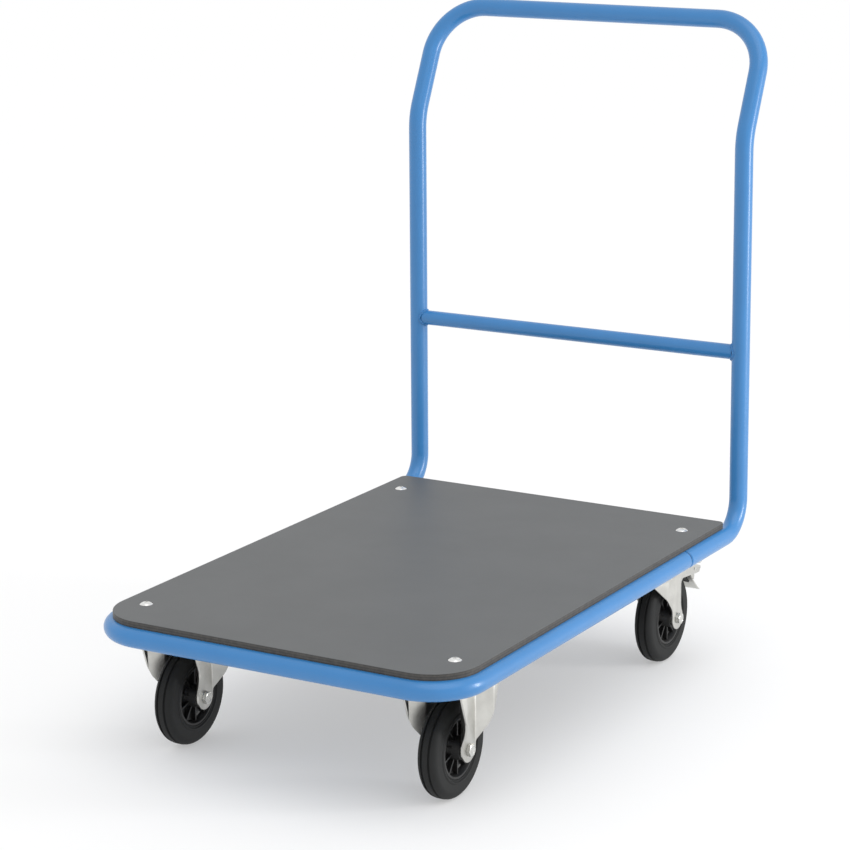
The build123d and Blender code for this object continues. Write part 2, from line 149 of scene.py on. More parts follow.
class Look(Nodes):
    """A material's nodes while its finish sets them up, with Object coordinates for every texture."""

    def __init__(self, tree: bpy.types.NodeTree) -> None:
        """Start from a new material's tree."""
        super().__init__(tree)
        self.shader = tree.nodes["Principled BSDF"]
        self.place = self.add("ShaderNodeTexCoord", {}, {}).outputs["Object"]

    def set(self, values: Settings) -> None:
        """Set some of the shader's inputs."""
        for name, value in values.items():
            self.shader.inputs[name].default_value = value

    def feed(self, name: str, source: Socket) -> None:
        """Link one of the shader's inputs."""
        self.tree.links.new(source, self.shader.inputs[name])

    def noise(self, grain_mm: float, detail: float) -> Socket:
        """A noise whose features are about grain_mm across."""
        settings = {"Scale": 1 / (grain_mm * MM), "Detail": detail, "Roughness": 0.55}
        return self.add("ShaderNodeTexNoise", settings, {"Vector": self.place}).outputs[0]

    def shades(self, value: Socket, *stops: tuple[float, str]) -> Socket:
        """Blend from one hex colour to another between two values."""
        node = self.add("ShaderNodeValToRGB", {}, {"Fac": value})
        for element, (position, colour) in zip(node.color_ramp.elements, stops):
            element.position = position
            element.color = linear(colour)
        return node.outputs[0]

    def rough(self, value: Socket, low: float, high: float) -> None:
        """Let the roughness follow a value."""
        spread = self.add("ShaderNodeMapRange", {"To Min": low, "To Max": high}, {"Value": value})
        self.feed("Roughness", spread.outputs[0])

    def bump(self, height: Socket, strength: float, depth_mm: float) -> None:
        """Give the surface a fine relief."""
        settings = {"Strength": strength, "Distance": depth_mm * MM}
        self.feed("Normal", self.add("ShaderNodeBump", settings, {"Height": height}).outputs[0])


@dataclass(frozen=True)
class Finish:
    """What every finish shares: its material's name and the slot that it is for."""

    name: str
    slot: Slot | None

    def material(self) -> bpy.types.Material:
        """The finish's material, made the first time it is asked for."""
        found = bpy.data.materials.get(self.name)
        if found is None:
            found = bpy.data.materials.new(self.name)
            found.use_nodes = True
            self.dress(Look(found.node_tree))
        return found

    def dress(self, look: Look) -> None:
        """Set the material up; each finish has its own way."""
        raise NotImplementedError


@dataclass(frozen=True)
class PowderCoat(Finish):
    """Polyester powder coat: an even satin colour with a slight orange peel."""

    colour: str
    shade: str
    roughness: float = 0.42

    def dress(self, look: Look) -> None:
        """Cloudy film thickness in the colour, orange peel in the relief."""
        look.feed("Base Color", look.shades(look.noise(60.0, 3.0), (0.3, self.shade), (0.7, self.colour)))
        look.rough(look.noise(9.0, 2.0), self.roughness - 0.04, self.roughness + 0.05)
        look.bump(look.noise(1.6, 1.0), 0.12, 0.12)
        look.set({"Specular IOR Level": 0.5, "Coat Weight": 0.5, "Coat Roughness": 0.2})


@dataclass(frozen=True)
class LaminatedBoard(Finish):
    """Anthracite laminate pressed on board: a fine pearl grain on top and a browner cut edge."""

    face: str
    face_dark: str
    edge: str
    edge_dark: str
    top: float
    ply_mm: float = 2.0

    def dress(self, look: Look) -> None:
        """The top takes the laminate's grain and the sides show the board's layers."""
        grain = look.noise(1.4, 2.0)
        clouds = look.math("MULTIPLY_ADD", grain, 0.55, look.noise(90.0, 3.0))
        face = look.shades(clouds, (0.55, self.face_dark), (0.95, self.face))
        height = look.add("ShaderNodeSeparateXYZ", {}, {"Vector": look.place}).outputs["Z"]
        layers = look.math("SINE", look.math("MULTIPLY", height, math.pi / (self.ply_mm * MM)))
        fibres = look.math("MULTIPLY_ADD", layers, 0.18, look.noise(5.0, 4.0))
        edge = look.shades(fibres, (0.3, self.edge_dark), (0.72, self.edge))
        is_face = look.math("GREATER_THAN", height, self.top)
        chosen = look.add("ShaderNodeMix", {"data_type": "RGBA"}, {"Factor": is_face})
        colours = [s for s in chosen.inputs if s.type == "RGBA"]
        for source, socket in zip((edge, face), colours):
            look.tree.links.new(source, socket)
        look.feed("Base Color", [s for s in chosen.outputs if s.type == "RGBA"][0])
        look.rough(grain, 0.44, 0.56)
        look.bump(grain, 0.25, 0.1)


@dataclass(frozen=True)
class ZincPlate(Finish):
    """Bright zinc plating on pressed steel: pale grey, softly cloudy, with fine rolling marks."""

    colour: str
    shade: str
    roughness: float = 0.36
    cloud_mm: float = 22.0

    def dress(self, look: Look) -> None:
        """Clouds in colour and roughness, and a faint relief."""
        clouds = look.noise(self.cloud_mm, 4.0)
        look.feed("Base Color", look.shades(clouds, (0.32, self.shade), (0.68, self.colour)))
        look.rough(look.noise(4.0, 3.0), self.roughness - 0.07, self.roughness + 0.08)
        look.bump(look.noise(0.9, 2.0), 0.1, 0.05)
        look.set({"Metallic": 1.0})


@dataclass(frozen=True)
class Rubber(Finish):
    """Vulcanised black rubber: matt, slightly bloomed, with a fine mould grain."""

    colour: str
    bloom: str
    roughness: float = 0.62

    def dress(self, look: Look) -> None:
        """A pale bloom in patches over near black."""
        bloom = look.noise(16.0, 5.0)
        look.feed("Base Color", look.shades(bloom, (0.35, self.colour), (0.75, self.bloom)))
        look.rough(bloom, self.roughness - 0.08, self.roughness + 0.1)
        look.bump(look.noise(0.7, 2.0), 0.2, 0.08)
        look.set({"Specular IOR Level": 0.35})


@dataclass(frozen=True)
class MouldedNylon(Finish):
    """Glass-filled nylon straight from the mould: black, a little glossy on its ribs."""

    colour: str
    haze: str

    def dress(self, look: Look) -> None:
        """Flow haze in the colour and a spark-eroded grain in the relief."""
        haze = look.noise(12.0, 3.0)
        look.feed("Base Color", look.shades(haze, (0.4, self.colour), (0.8, self.haze)))
        look.rough(haze, 0.34, 0.5)
        look.bump(look.noise(0.5, 1.0), 0.15, 0.05)


@dataclass(frozen=True)
class StudioPaint(Finish):
    """Seamless pale backdrop, lit a little from within like a light table."""

    colour: str
    glow: float

    def dress(self, look: Look) -> None:
        """Plain and matt, with an even glow."""
        look.set({"Emission Color": (1, 1, 1, 1), "Emission Strength": self.glow})
        look.set({"Base Color": linear(self.colour), "Roughness": 1.0, "Specular IOR Level": 0.0})


BLUE = PowderCoat("powder_coat_blue", Slot.FRAME_PAINT, "2f7cbb", "2d79b7")
# Much darker copy of the frame's blue for the spigots inside the tube seams: the darkness is painted shade of
# the narrow gap.
SEAM_SHADE_BLUE = PowderCoat("powder_coat_blue_painted_seam_shade", Slot.FRAME_PAINT, "06264d", "052145", 0.6)
LAMINATE_FROM_Z = 0.22735
BOARD = LaminatedBoard(
    "anthracite_laminated_board", Slot.DECK, "5c5e5f", "585a5b", "4b4843", "343230", LAMINATE_FROM_Z
)
ZINC = ZincPlate("bright_zinc_plate", Slot.ZINC, "d2d1cc", "c3c2bd", 0.32)
BOLT_ZINC = ZincPlate("zinc_plated_fastener", Slot.ZINC, "e2e2de", "c4c4c0", 0.27, 6.0)
# Paler copy of the fasteners' zinc for the deck bolts' domes: the paler colour is a painted highlight, and
# the lower roughness makes them a little smoother.
LIT_DOME_ZINC = ZincPlate("zinc_dome_painted_highlight", Slot.ZINC, "f6f6f4", "ececea", 0.24, 6.0)
STEEL = ZincPlate("plain_turned_steel", Slot.BRIGHT_STEEL, "b9b9b8", "a4a4a4", 0.24, 5.0)
TYRE_RUBBER = Rubber("solid_black_rubber", Slot.TYRE, "161717", "1e1f1f", 0.66)
SHOE_RUBBER = Rubber("hard_black_rubber", Slot.SHOE, "232323", "2b2b2b", 0.55)
NYLON = MouldedNylon("black_glass_filled_nylon", Slot.RIM, "141414", "1c1c1c")
BACKDROP = StudioPaint("pale_studio_floor", None, "cccccc", 0.35)


# Mesh making


def put(name: str, data: bpy.types.ID) -> bpy.types.Object:
    """A new object, linked into the scene."""
    made = bpy.data.objects.new(name, data)
    bpy.context.scene.collection.objects.link(made)
    return made


def centre_of(node: str) -> Vector:
    """Middle of a CAD node's box."""
    low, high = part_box(node)
    return (low + high) / 2


def in_metres(points: Iterable[Pair]) -> list[Pair]:
    """The same points, from millimetres to metres."""
    return [(a * MM, b * MM) for a, b in points]


def headings(line: Sequence[Vector]) -> list[Vector]:
    """Direction of a line at each of its points."""
    last = len(line) - 1
    return [(line[min(i + 1, last)] - line[max(i - 1, 0)]).normalized() for i in range(last + 1)]


def rounded(
    points: Sequence[Vector], radii: Sequence[float], closed: bool = False, step: float = ARC_STEP
) -> list[Vector]:
    """Round the corners of a line with tangent arcs.

    Args:
        points: the line's corners.
        radii: arc radius at each inner corner, or at every corner of a closed line.
        closed: whether the line joins up.
        step: largest turn between two points of an arc.

    Returns:
        The points of the rounded line.
    """
    count = len(points)
    out: list[Vector] = [] if closed else [points[0].copy()]
    corners = range(count) if closed else range(1, count - 1)
    for index, radius in zip(corners, radii):
        corner = points[index]
        back = (points[index - 1] - corner).normalized()
        ahead = (points[(index + 1) % count] - corner).normalized()
        turn = math.pi - back.angle(ahead)
        if radius <= 0 or turn < 1e-4:
            out.append(corner.copy())
            continue
        centre = corner + (back + ahead).normalized() * (radius / math.cos(turn / 2))
        start = corner + back * (radius * math.tan(turn / 2)) - centre
        axis = back.cross(ahead) * -1
        steps = max(2, math.ceil(turn / step))
        for i in range(steps + 1):
            out.append(centre + Matrix.Rotation(turn * i / steps, 3, axis) @ start)
    if not closed:
        out.append(points[-1].copy())
    return out


class Shell:
    """Points and faces of one piece, gathered before they become a mesh."""

    def __init__(self) -> None:
        """Start with nothing."""
        self.points: list[Vector] = []
        self.faces: list[tuple[int, ...]] = []

    def ring(self, points: Iterable[Vector]) -> list[int]:
        """Add points and give their indices."""
        start = len(self.points)
        self.points.extend(points)
        return list(range(start, len(self.points)))

    def bridge(self, a: Sequence[int], b: Sequence[int]) -> None:
        """Join two rings of the same length with quads."""
        for i in range(len(a)):
            j = (i + 1) % len(a)
            self.faces.append((a[i], a[j], b[j], b[i]))

    def loft(self, rings: Sequence[Sequence[Vector]], joined: bool = False) -> None:
        """Join a row of rings, capping both ends or joining the last to the first.

        Args:
            rings: the rings, all of one length.
            joined: whether the last ring meets the first.
        """
        made = [self.ring(r) for r in rings]
        for a, b in zip(made, made[1:]):
            self.bridge(a, b)
        if joined:
            self.bridge(made[-1], made[0])
        else:
            self.faces.append(tuple(reversed(made[0])))
            self.faces.append(tuple(made[-1]))

    def spin(self, profile: Sequence[Pair], place: Matrix, sides: int) -> None:
        """Turn a closed profile about its own Z axis.

        Args:
            profile: (radius, height) points, once round.
            place: where the axis stands.
            sides: steps round the axis.
        """
        columns = []
        for i in range(sides):
            angle = TURN * i / sides
            across, back = math.cos(angle), math.sin(angle)
            columns.append([place @ Vector((r * across, r * back, z)) for r, z in profile])
        self.loft(columns, joined=True)

    def sheet(
        self, outline: Sequence[Pair], cuts: Sequence[float], place: Callable[[float, float, int], Vector]
    ) -> None:
        """A wall of even thickness that is bent along one direction.

        Args:
            outline: closed (along, up) outline of the flat blank.
            cuts: positions along at which the blank bends.
            place: gives a point's place from its along, its up and 0 for the outer or 1 for the inner face.
        """
        flat = bmesh.new()
        flat.faces.new([flat.verts.new((a, u, 0)) for a, u in outline])
        for cut in cuts:
            geometry = flat.verts[:] + flat.edges[:] + flat.faces[:]
            bmesh.ops.bisect_plane(flat, geom=geometry, plane_co=(cut, 0, 0), plane_no=(1, 0, 0), dist=1e-6)
        bmesh.ops.remove_doubles(flat, verts=flat.verts[:], dist=1e-6)
        flat.verts.index_update()
        sides = [self.ring(place(v.co.x, v.co.y, face) for v in flat.verts) for face in (0, 1)]
        for f in flat.faces:
            loop = [v.index for v in f.verts]
            self.faces.append(tuple(sides[0][i] for i in loop))
            self.faces.append(tuple(sides[1][i] for i in reversed(loop)))
        for edge in flat.edges:
            if edge.is_boundary:
                a, b = (v.index for v in edge.verts)
                self.faces.append((sides[0][a], sides[0][b], sides[1][b], sides[1][a]))
        flat.free()

    def slab(self, outline: Sequence[Vector], thickness: Vector) -> None:
        """A flat outline given a thickness."""
        self.loft([list(outline), [p + thickness for p in outline]])

    def mesh(self, name: str, bevel: float = 0.0) -> bpy.types.Mesh:
        """Close the shell into a mesh with outward faces.

        Args:
            name: name of the mesh.
            bevel: width of the rounding on its sharp edges, in metres.

        Returns:
            The mesh, shaded smooth between edges that aren't sharp.
        """
        work = bmesh.new()
        verts = [work.verts.new(p) for p in self.points]
        for face in self.faces:
            ends = [verts[i] for i in dict.fromkeys(face)]
            if len(ends) > 2:
                try:
                    work.faces.new(ends)
                except ValueError:
                    log.debug("%s: a face came twice", name)
        bmesh.ops.remove_doubles(work, verts=work.verts[:], dist=MERGE_DISTANCE)
        bmesh.ops.dissolve_degenerate(work, dist=MERGE_DISTANCE / 2, edges=work.edges[:])
        loose = [v for v in work.verts if not v.link_faces]
        bmesh.ops.delete(work, geom=loose, context="VERTS")
        bmesh.ops.recalc_face_normals(work, faces=work.faces[:])
        if bevel > 0:
            sharp = [e for e in work.edges if len(e.link_faces) == 2 and e.calc_face_angle(0) > BEVEL_ANGLE]
            bmesh.ops.bevel(
                work, geom=sharp, offset=bevel, segments=2, profile=0.5, affect="EDGES", clamp_overlap=True
            )
            bmesh.ops.recalc_face_normals(work, faces=work.faces[:])
        made = bpy.data.meshes.new(name)
        work.to_mesh(made)
        work.free()
        made.shade_smooth()
        made.set_sharp_from_angle(angle=SHARP_ANGLE)
        return made


def piece(name: str, mesh: bpy.types.Mesh, finish: Finish, body: str, stands_for: Sequence[str] = ()) -> None:
    """Put a finished mesh in the scene, on its body.

    Args:
        name: the piece's name.
        mesh: its mesh, already in place.
        finish: what it is dressed in.
        body: the body it rides on.
        stands_for: CAD nodes that it replaces.
    """
    made = put(name, mesh)
    mesh.materials.clear()
    mesh.materials.append(finish.material())
    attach(made, body)
    if stands_for:
        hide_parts(*stands_for)
    log.info("%s: %d faces on %s", name, len(mesh.polygons), body)


def dress(node: str, finish: Finish) -> None:
    """Give a CAD node that stays in view its finish."""
    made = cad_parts[node]
    if not made.data.materials:
        made.data.materials.append(finish.material())
    for slot in made.material_slots:
        slot.material = finish.material()
    log.info("%s: dressed in %s", node, finish.name)


def along(points: Sequence[Vector], radius: Callable[[int], float], sides: int) -> list[list[Vector]]:
    """Rings round a line, kept from twisting.

    Args:
        points: the line.
        radius: gives the ring's radius from the point's number.
        sides: points on each ring.

    Returns:
        One ring for each point of the line.
    """
    rings = []
    angles = [TURN * k / sides for k in range(sides)]
    normal: Vector | None = None
    for i, (point, tangent) in enumerate(zip(points, headings(points))):
        if normal is None:
            normal = tangent.orthogonal().normalized()
        normal = (normal - tangent * normal.dot(tangent)).normalized()
        other = tangent.cross(normal)
        size = radius(i)
        rings.append([point + (normal * math.cos(a) + other * math.sin(a)) * size for a in angles])
    return rings


class NodeRecipe(Nodes):
    """A Geometry Nodes tree with named inputs, run once on a mesh and baked."""

    def __init__(self, name: str) -> None:
        """Start a tree with a geometry input and output."""
        super().__init__(bpy.data.node_groups.new(name, "GeometryNodeTree"))
        for way in ("INPUT", "OUTPUT"):
            self.tree.interface.new_socket("Geometry", in_out=way, socket_type="NodeSocketGeometry")
        self.start = self.tree.nodes.new("NodeGroupInput")
        self.end = self.tree.nodes.new("NodeGroupOutput")

    def size(self, name: str, value: float | int | Vector | None, kind: str = "NodeSocketFloat") -> None:
        """Add a named input with its usual value, if it has one."""
        socket = self.tree.interface.new_socket(name, in_out="INPUT", socket_type=kind)
        if value is not None:
            socket.default_value = value

    def given(self, name: str) -> Socket:
        """The input of that name inside the tree."""
        return self.start.outputs[name]

    def close(self, geometry: Socket, finish: Finish) -> None:
        """End the tree in Realize Instances and Set Material."""
        real = self.add("GeometryNodeRealizeInstances", {}, {"Geometry": geometry})
        settings = {"Material": finish.material()}
        dressed = self.add("GeometryNodeSetMaterial", settings, {"Geometry": real.outputs[0]})
        self.tree.links.new(dressed.outputs[0], self.end.inputs[0])

    def bake(self, name: str, base: bpy.types.Mesh, values: dict[str, object]) -> bpy.types.Mesh:
        """Run the tree on a mesh.

        Args:
            name: name of the new mesh.
            base: the mesh that the tree starts from.
            values: named inputs that differ from their usual value.

        Returns:
            The result as a plain mesh.
        """
        holder = put(name + "_base", base)
        modifier = holder.modifiers.new("recipe", "NODES")
        modifier.node_group = self.tree
        for item in self.tree.interface.items_tree:
            if item.in_out == "INPUT" and item.name in values:
                modifier[item.identifier] = values[item.name]
        evaluated = holder.evaluated_get(bpy.context.evaluated_depsgraph_get())
        made = bpy.data.meshes.new_from_object(evaluated)
        made.name = name
        holder.modifiers.remove(modifier)
        bpy.data.objects.remove(holder)
        made.shade_smooth()
        made.set_sharp_from_angle(angle=SHARP_ANGLE)
        return made


def lines_mesh(name: str, points: Iterable[Vector], edges: Sequence[tuple[int, int]] = ()) -> bpy.types.Mesh:
    """A mesh of points and edges for a recipe to start from."""
    made = bpy.data.meshes.new(name)
    made.from_pydata([tuple(p) for p in points], edges, [])
    return made


def fastener_recipe(finish: Finish) -> NodeRecipe:
    """One modelled fastener on every point, faced one way and turned at random about its own axis."""
    recipe = NodeRecipe("fasteners_" + finish.name)
    recipe.size("Fastener", None, "NodeSocketObject")
    recipe.size("Facing", Vector((0, 0, 0)), "NodeSocketRotation")
    recipe.size("Largest turn", TURN)
    recipe.size("Seed", 4, "NodeSocketInt")
    links = {"Object": recipe.given("Fastener")}
    info = recipe.add("GeometryNodeObjectInfo", {"transform_space": "ORIGINAL"}, links)
    spin = recipe.add("FunctionNodeRandomValue", {"data_type": "FLOAT"}, {"Seed": recipe.given("Seed")})
    for socket in spin.inputs:
        if socket.name == "Max" and socket.type == "VALUE":
            recipe.tree.links.new(recipe.given("Largest turn"), socket)
    turned = recipe.add("ShaderNodeCombineXYZ", {}, {"Z": [s for s in spin.outputs if s.type == "VALUE"][0]})
    angle = recipe.add("FunctionNodeEulerToRotation", {}, {"Euler": turned.outputs[0]})
    links = {"Rotation": recipe.given("Facing"), "Rotate By": angle.outputs[0]}
    faced = recipe.add("FunctionNodeRotateRotation", {"rotation_space": "LOCAL"}, links)
    links = {"Points": recipe.given("Geometry"), "Instance": info.outputs["Geometry"]}
    links["Rotation"] = faced.outputs[0]
    recipe.close(recipe.add("GeometryNodeInstanceOnPoints", {}, links).outputs[0], finish)
    return recipe


def weld_recipe(finish: Finish) -> NodeRecipe:
    """A rippled bead of weld along a line."""
    recipe = NodeRecipe("weld_bead_" + finish.name)
    recipe.size("Bead", 2.2 * MM)
    recipe.size("Ripple", 1.6 * MM)
    recipe.size("Ripple depth", 0.12)
    curve = recipe.add("GeometryNodeMeshToCurve", {}, {"Mesh": recipe.given("Geometry")})
    settings = {"mode": "LENGTH", "Length": 0.5 * MM}
    even = recipe.add("GeometryNodeResampleCurve", settings, {"Curve": curve.outputs[0]})
    length = recipe.add("GeometryNodeSplineParameter", {}, {}).outputs["Length"]
    turns = recipe.math("MULTIPLY", recipe.math("DIVIDE", length, recipe.given("Ripple")), TURN)
    rise = recipe.math("MULTIPLY_ADD", recipe.math("SINE", turns), recipe.given("Ripple depth"), 1.0)
    thick = recipe.math("MULTIPLY", rise, recipe.given("Bead"))
    sized = recipe.add("GeometryNodeSetCurveRadius", {}, {"Curve": even.outputs[0], "Radius": thick})
    profile = recipe.add("GeometryNodeCurvePrimitiveCircle", {"Resolution": 10, "Radius": 1.0}, {})
    links = {"Curve": sized.outputs[0], "Profile Curve": profile.outputs[0]}
    bead = recipe.add("GeometryNodeCurveToMesh", {"Fill Caps": True}, links)
    scale = [s for s in bead.inputs if s.name == "Scale"]
    if scale:
        radius = recipe.add("GeometryNodeInputRadius", {}, {})
        recipe.tree.links.new(radius.outputs[0], scale[0])
    recipe.close(bead.outputs[0], finish)
    return recipe


def spoke_recipe(finish: Finish) -> NodeRecipe:
    """Radial ribs added to a turned rim."""
    recipe = NodeRecipe("rim_ribs_" + finish.name)
    recipe.size("Ribs", 10, "NodeSocketInt")
    recipe.size("Middle", 27.5 * MM)
    recipe.size("Rib size", Vector((25 * MM, 2.4 * MM, 22 * MM)), "NodeSocketVector")
    recipe.size("Centre", Vector((0, 0, 0)), "NodeSocketVector")
    sizes = {"Vertices": recipe.given("Ribs"), "Radius": recipe.given("Middle")}
    places = recipe.add("GeometryNodeMeshCircle", {}, sizes)
    place = recipe.add("GeometryNodeInputPosition", {}, {})
    facing = recipe.add("FunctionNodeAlignRotationToVector", {"axis": "X"}, {"Vector": place.outputs[0]})
    corners = {"Vertices X": 2, "Vertices Y": 2, "Vertices Z": 2}
    rib = recipe.add("GeometryNodeMeshCube", corners, {"Size": recipe.given("Rib size")})
    links = {"Points": places.outputs[0], "Instance": rib.outputs["Mesh"], "Rotation": facing.outputs[0]}
    ribs = recipe.add("GeometryNodeInstanceOnPoints", {}, links)
    links = {"Geometry": ribs.outputs[0], "Translation": recipe.given("Centre")}
    across = recipe.add("GeometryNodeTransform", {"Rotation": (0, math.pi / 2, 0)}, links)
    both = recipe.add("GeometryNodeJoinGeometry", {}, {"Geometry": across.outputs[0]})
    recipe.tree.links.new(recipe.given("Geometry"), both.inputs[0])
    recipe.close(both.outputs[0], finish)
    return recipe


# Fastener shapes, each standing on the origin with its head towards +Z


FASTENER_SIDES = 36
WASHER_FACE = 0.475
CONE_SLOPE = math.tan(math.radians(30))


def hex_ring(across: float, height: float, cone: float = 0.0) -> list[Vector]:
    """A hexagonal ring whose corners are turned down by a cone.

    Args:
        across: width across the flats.
        height: height of the ring at the flats' inscribed circle.
        cone: radius where the turning starts; 0 leaves the ring flat.

    Returns:
        The ring's points.
    """
    out = []
    for i in range(FASTENER_SIDES):
        angle = TURN * i / FASTENER_SIDES
        reach = across / 2 / math.cos((angle + math.pi / 6) % (math.pi / 3) - math.pi / 6)
        drop = max(0.0, reach - cone) * CONE_SLOPE if cone else 0.0
        out.append(Vector((reach * math.cos(angle), reach * math.sin(angle), height - drop)))
    return out


def circles(*profile: Pair) -> list[list[Vector]]:
    """Level rings about the Z axis, one for each (radius, height)."""
    angles = [TURN * i / FASTENER_SIDES for i in range(FASTENER_SIDES)]
    return [[Vector((r * math.cos(a), r * math.sin(a), z)) for a in angles] for r, z in profile]


def shank_rings(radius: float, depth: float, pitch: float) -> list[list[Vector]]:
    """Rings of a thread from its end up to the head's seat: a row of rounded grooves."""
    rings = circles((radius * 0.82, -depth))
    for i in range(max(1, int(depth / pitch))):
        low = -depth + pitch * (i + 0.25)
        rings += circles((radius, low + pitch * 0.15), (radius, low + pitch * 0.35))
        rings += circles((radius * 0.9, low + pitch * 0.62))
    return rings


@dataclass(frozen=True)
class Fastener:
    """What every fastener shape shares: rings that are joined into a mesh, round a bore if it has one."""

    has_bore: ClassVar[bool] = False

    def rings(self) -> list[list[Vector]]:
        """The shape's rings; each fastener has its own."""
        raise NotImplementedError

    def mesh(self, name: str) -> bpy.types.Mesh:
        """Its mesh."""
        shell = Shell()
        shell.loft(self.rings(), joined=self.has_bore)
        return shell.mesh(name)


@dataclass(frozen=True)
class HexBolt(Fastener):
    """Hexagon bolt with a washer face under its head."""

    across: float
    head: float
    shank_r: float
    shank: float

    def rings(self) -> list[list[Vector]]:
        """Thread, washer face, hexagon and dished top."""
        inner, face, top = self.across * WASHER_FACE, 0.4 * MM, self.head
        dish = top - 0.35 * MM
        rings = shank_rings(self.shank_r, self.shank, 1.5 * MM)
        rings += circles((self.shank_r, -0.2 * MM), (inner, 0.0), (inner, face))
        rings += [hex_ring(self.across, face), hex_ring(self.across, top, inner)]
        return rings + circles((inner, top), (inner * 0.8, top), (inner * 0.74, dish), (inner * 0.2, dish))


@dataclass(frozen=True)
class LockNut(Fastener):
    """Lock nut with a round collar over its insert."""

    has_bore: ClassVar[bool] = True
    across: float
    height: float
    bore: float

    def rings(self) -> list[list[Vector]]:
        """Washer face, hexagon and collar, back to the bore."""
        inner, face, top = self.across * WASHER_FACE, 0.3 * MM, self.height
        shoulder = top * 0.72
        rings = circles((self.bore, 0.0), (inner, 0.0), (inner, face))
        rings += [hex_ring(self.across, face), hex_ring(self.across, shoulder, inner)]
        rings += circles((inner * 0.94, shoulder), (inner * 0.92, top - 1 * MM))
        rings += circles((inner * 0.8, top - 0.2 * MM), (self.bore * 1.25, top))
        return rings + circles((self.bore, top - 0.6 * MM))


@dataclass(frozen=True)
class MushroomBolt(Fastener):
    """Flat round-headed deck bolt with a hexagon socket."""

    head_r: float = 10 * MM
    head: float = 4 * MM
    socket: float = 5 * MM
    socket_depth: float = 2 * MM
    shank_r: float = 4 * MM
    shank: float = 57.5 * MM

    def rings(self) -> list[list[Vector]]:
        """Thread, thin rim, ball-shaped top and socket."""
        ball = (self.head_r**2 + self.head**2) / (2 * self.head)
        rings = shank_rings(self.shank_r, self.shank, 1.25 * MM)
        rings += circles((self.shank_r, -0.2 * MM), (self.shank_r, 0.0))
        rings += circles((self.head_r * 0.985, 0.0), (self.head_r, 0.25 * MM))
        for i in range(1, 9):
            r = self.head_r * (1 - 0.66 * i / 8)
            rings += circles((r, math.sqrt(ball**2 - r**2) - ball + self.head))
        top = rings[-1][0].z
        rings += [hex_ring(self.socket, top - 0.1 * MM), hex_ring(self.socket, top - self.socket_depth)]
        return rings + circles((self.socket * 0.1, top - self.socket_depth * 1.15))


@dataclass(frozen=True)
class PanScrew(Fastener):
    """Small round-headed screw with a hexagon socket."""

    head_r: float = 5.25 * MM
    head: float = 3 * MM
    socket: float = 3 * MM
    shank_r: float = 2.95 * MM
    shank: float = 7 * MM

    def rings(self) -> list[list[Vector]]:
        """Thread, straight side, rounded shoulder and socket."""
        rings = shank_rings(self.shank_r, self.shank, 1 * MM)
        rings += circles((self.shank_r, 0.0), (self.head_r, 0.0), (self.head_r, self.head * 0.33))
        for i in range(1, 6):
            angle = math.pi / 2 * i / 6
            r = self.head_r - self.head * 0.67 * (1 - math.cos(angle))
            rings += circles((r, self.head * (0.33 + 0.67 * math.sin(angle))))
        rings += circles((self.socket * 0.75, self.head))
        return rings + [hex_ring(self.socket, self.head), hex_ring(self.socket, self.head * 0.5)]


@dataclass(frozen=True)
class Washer(Fastener):
    """Flat washer, its face towards +Z."""

    has_bore: ClassVar[bool] = True
    outer: float
    bore: float
    thickness: float

    def rings(self) -> list[list[Vector]]:
        """Round from the bore's low edge to its high edge."""
        low, soft = -self.thickness, 0.25 * MM
        rings = circles((self.bore, low), (self.outer - soft, low), (self.outer, low + soft))
        return rings + circles((self.outer, -soft), (self.outer - soft, 0.0), (self.bore, 0.0))


# The cart


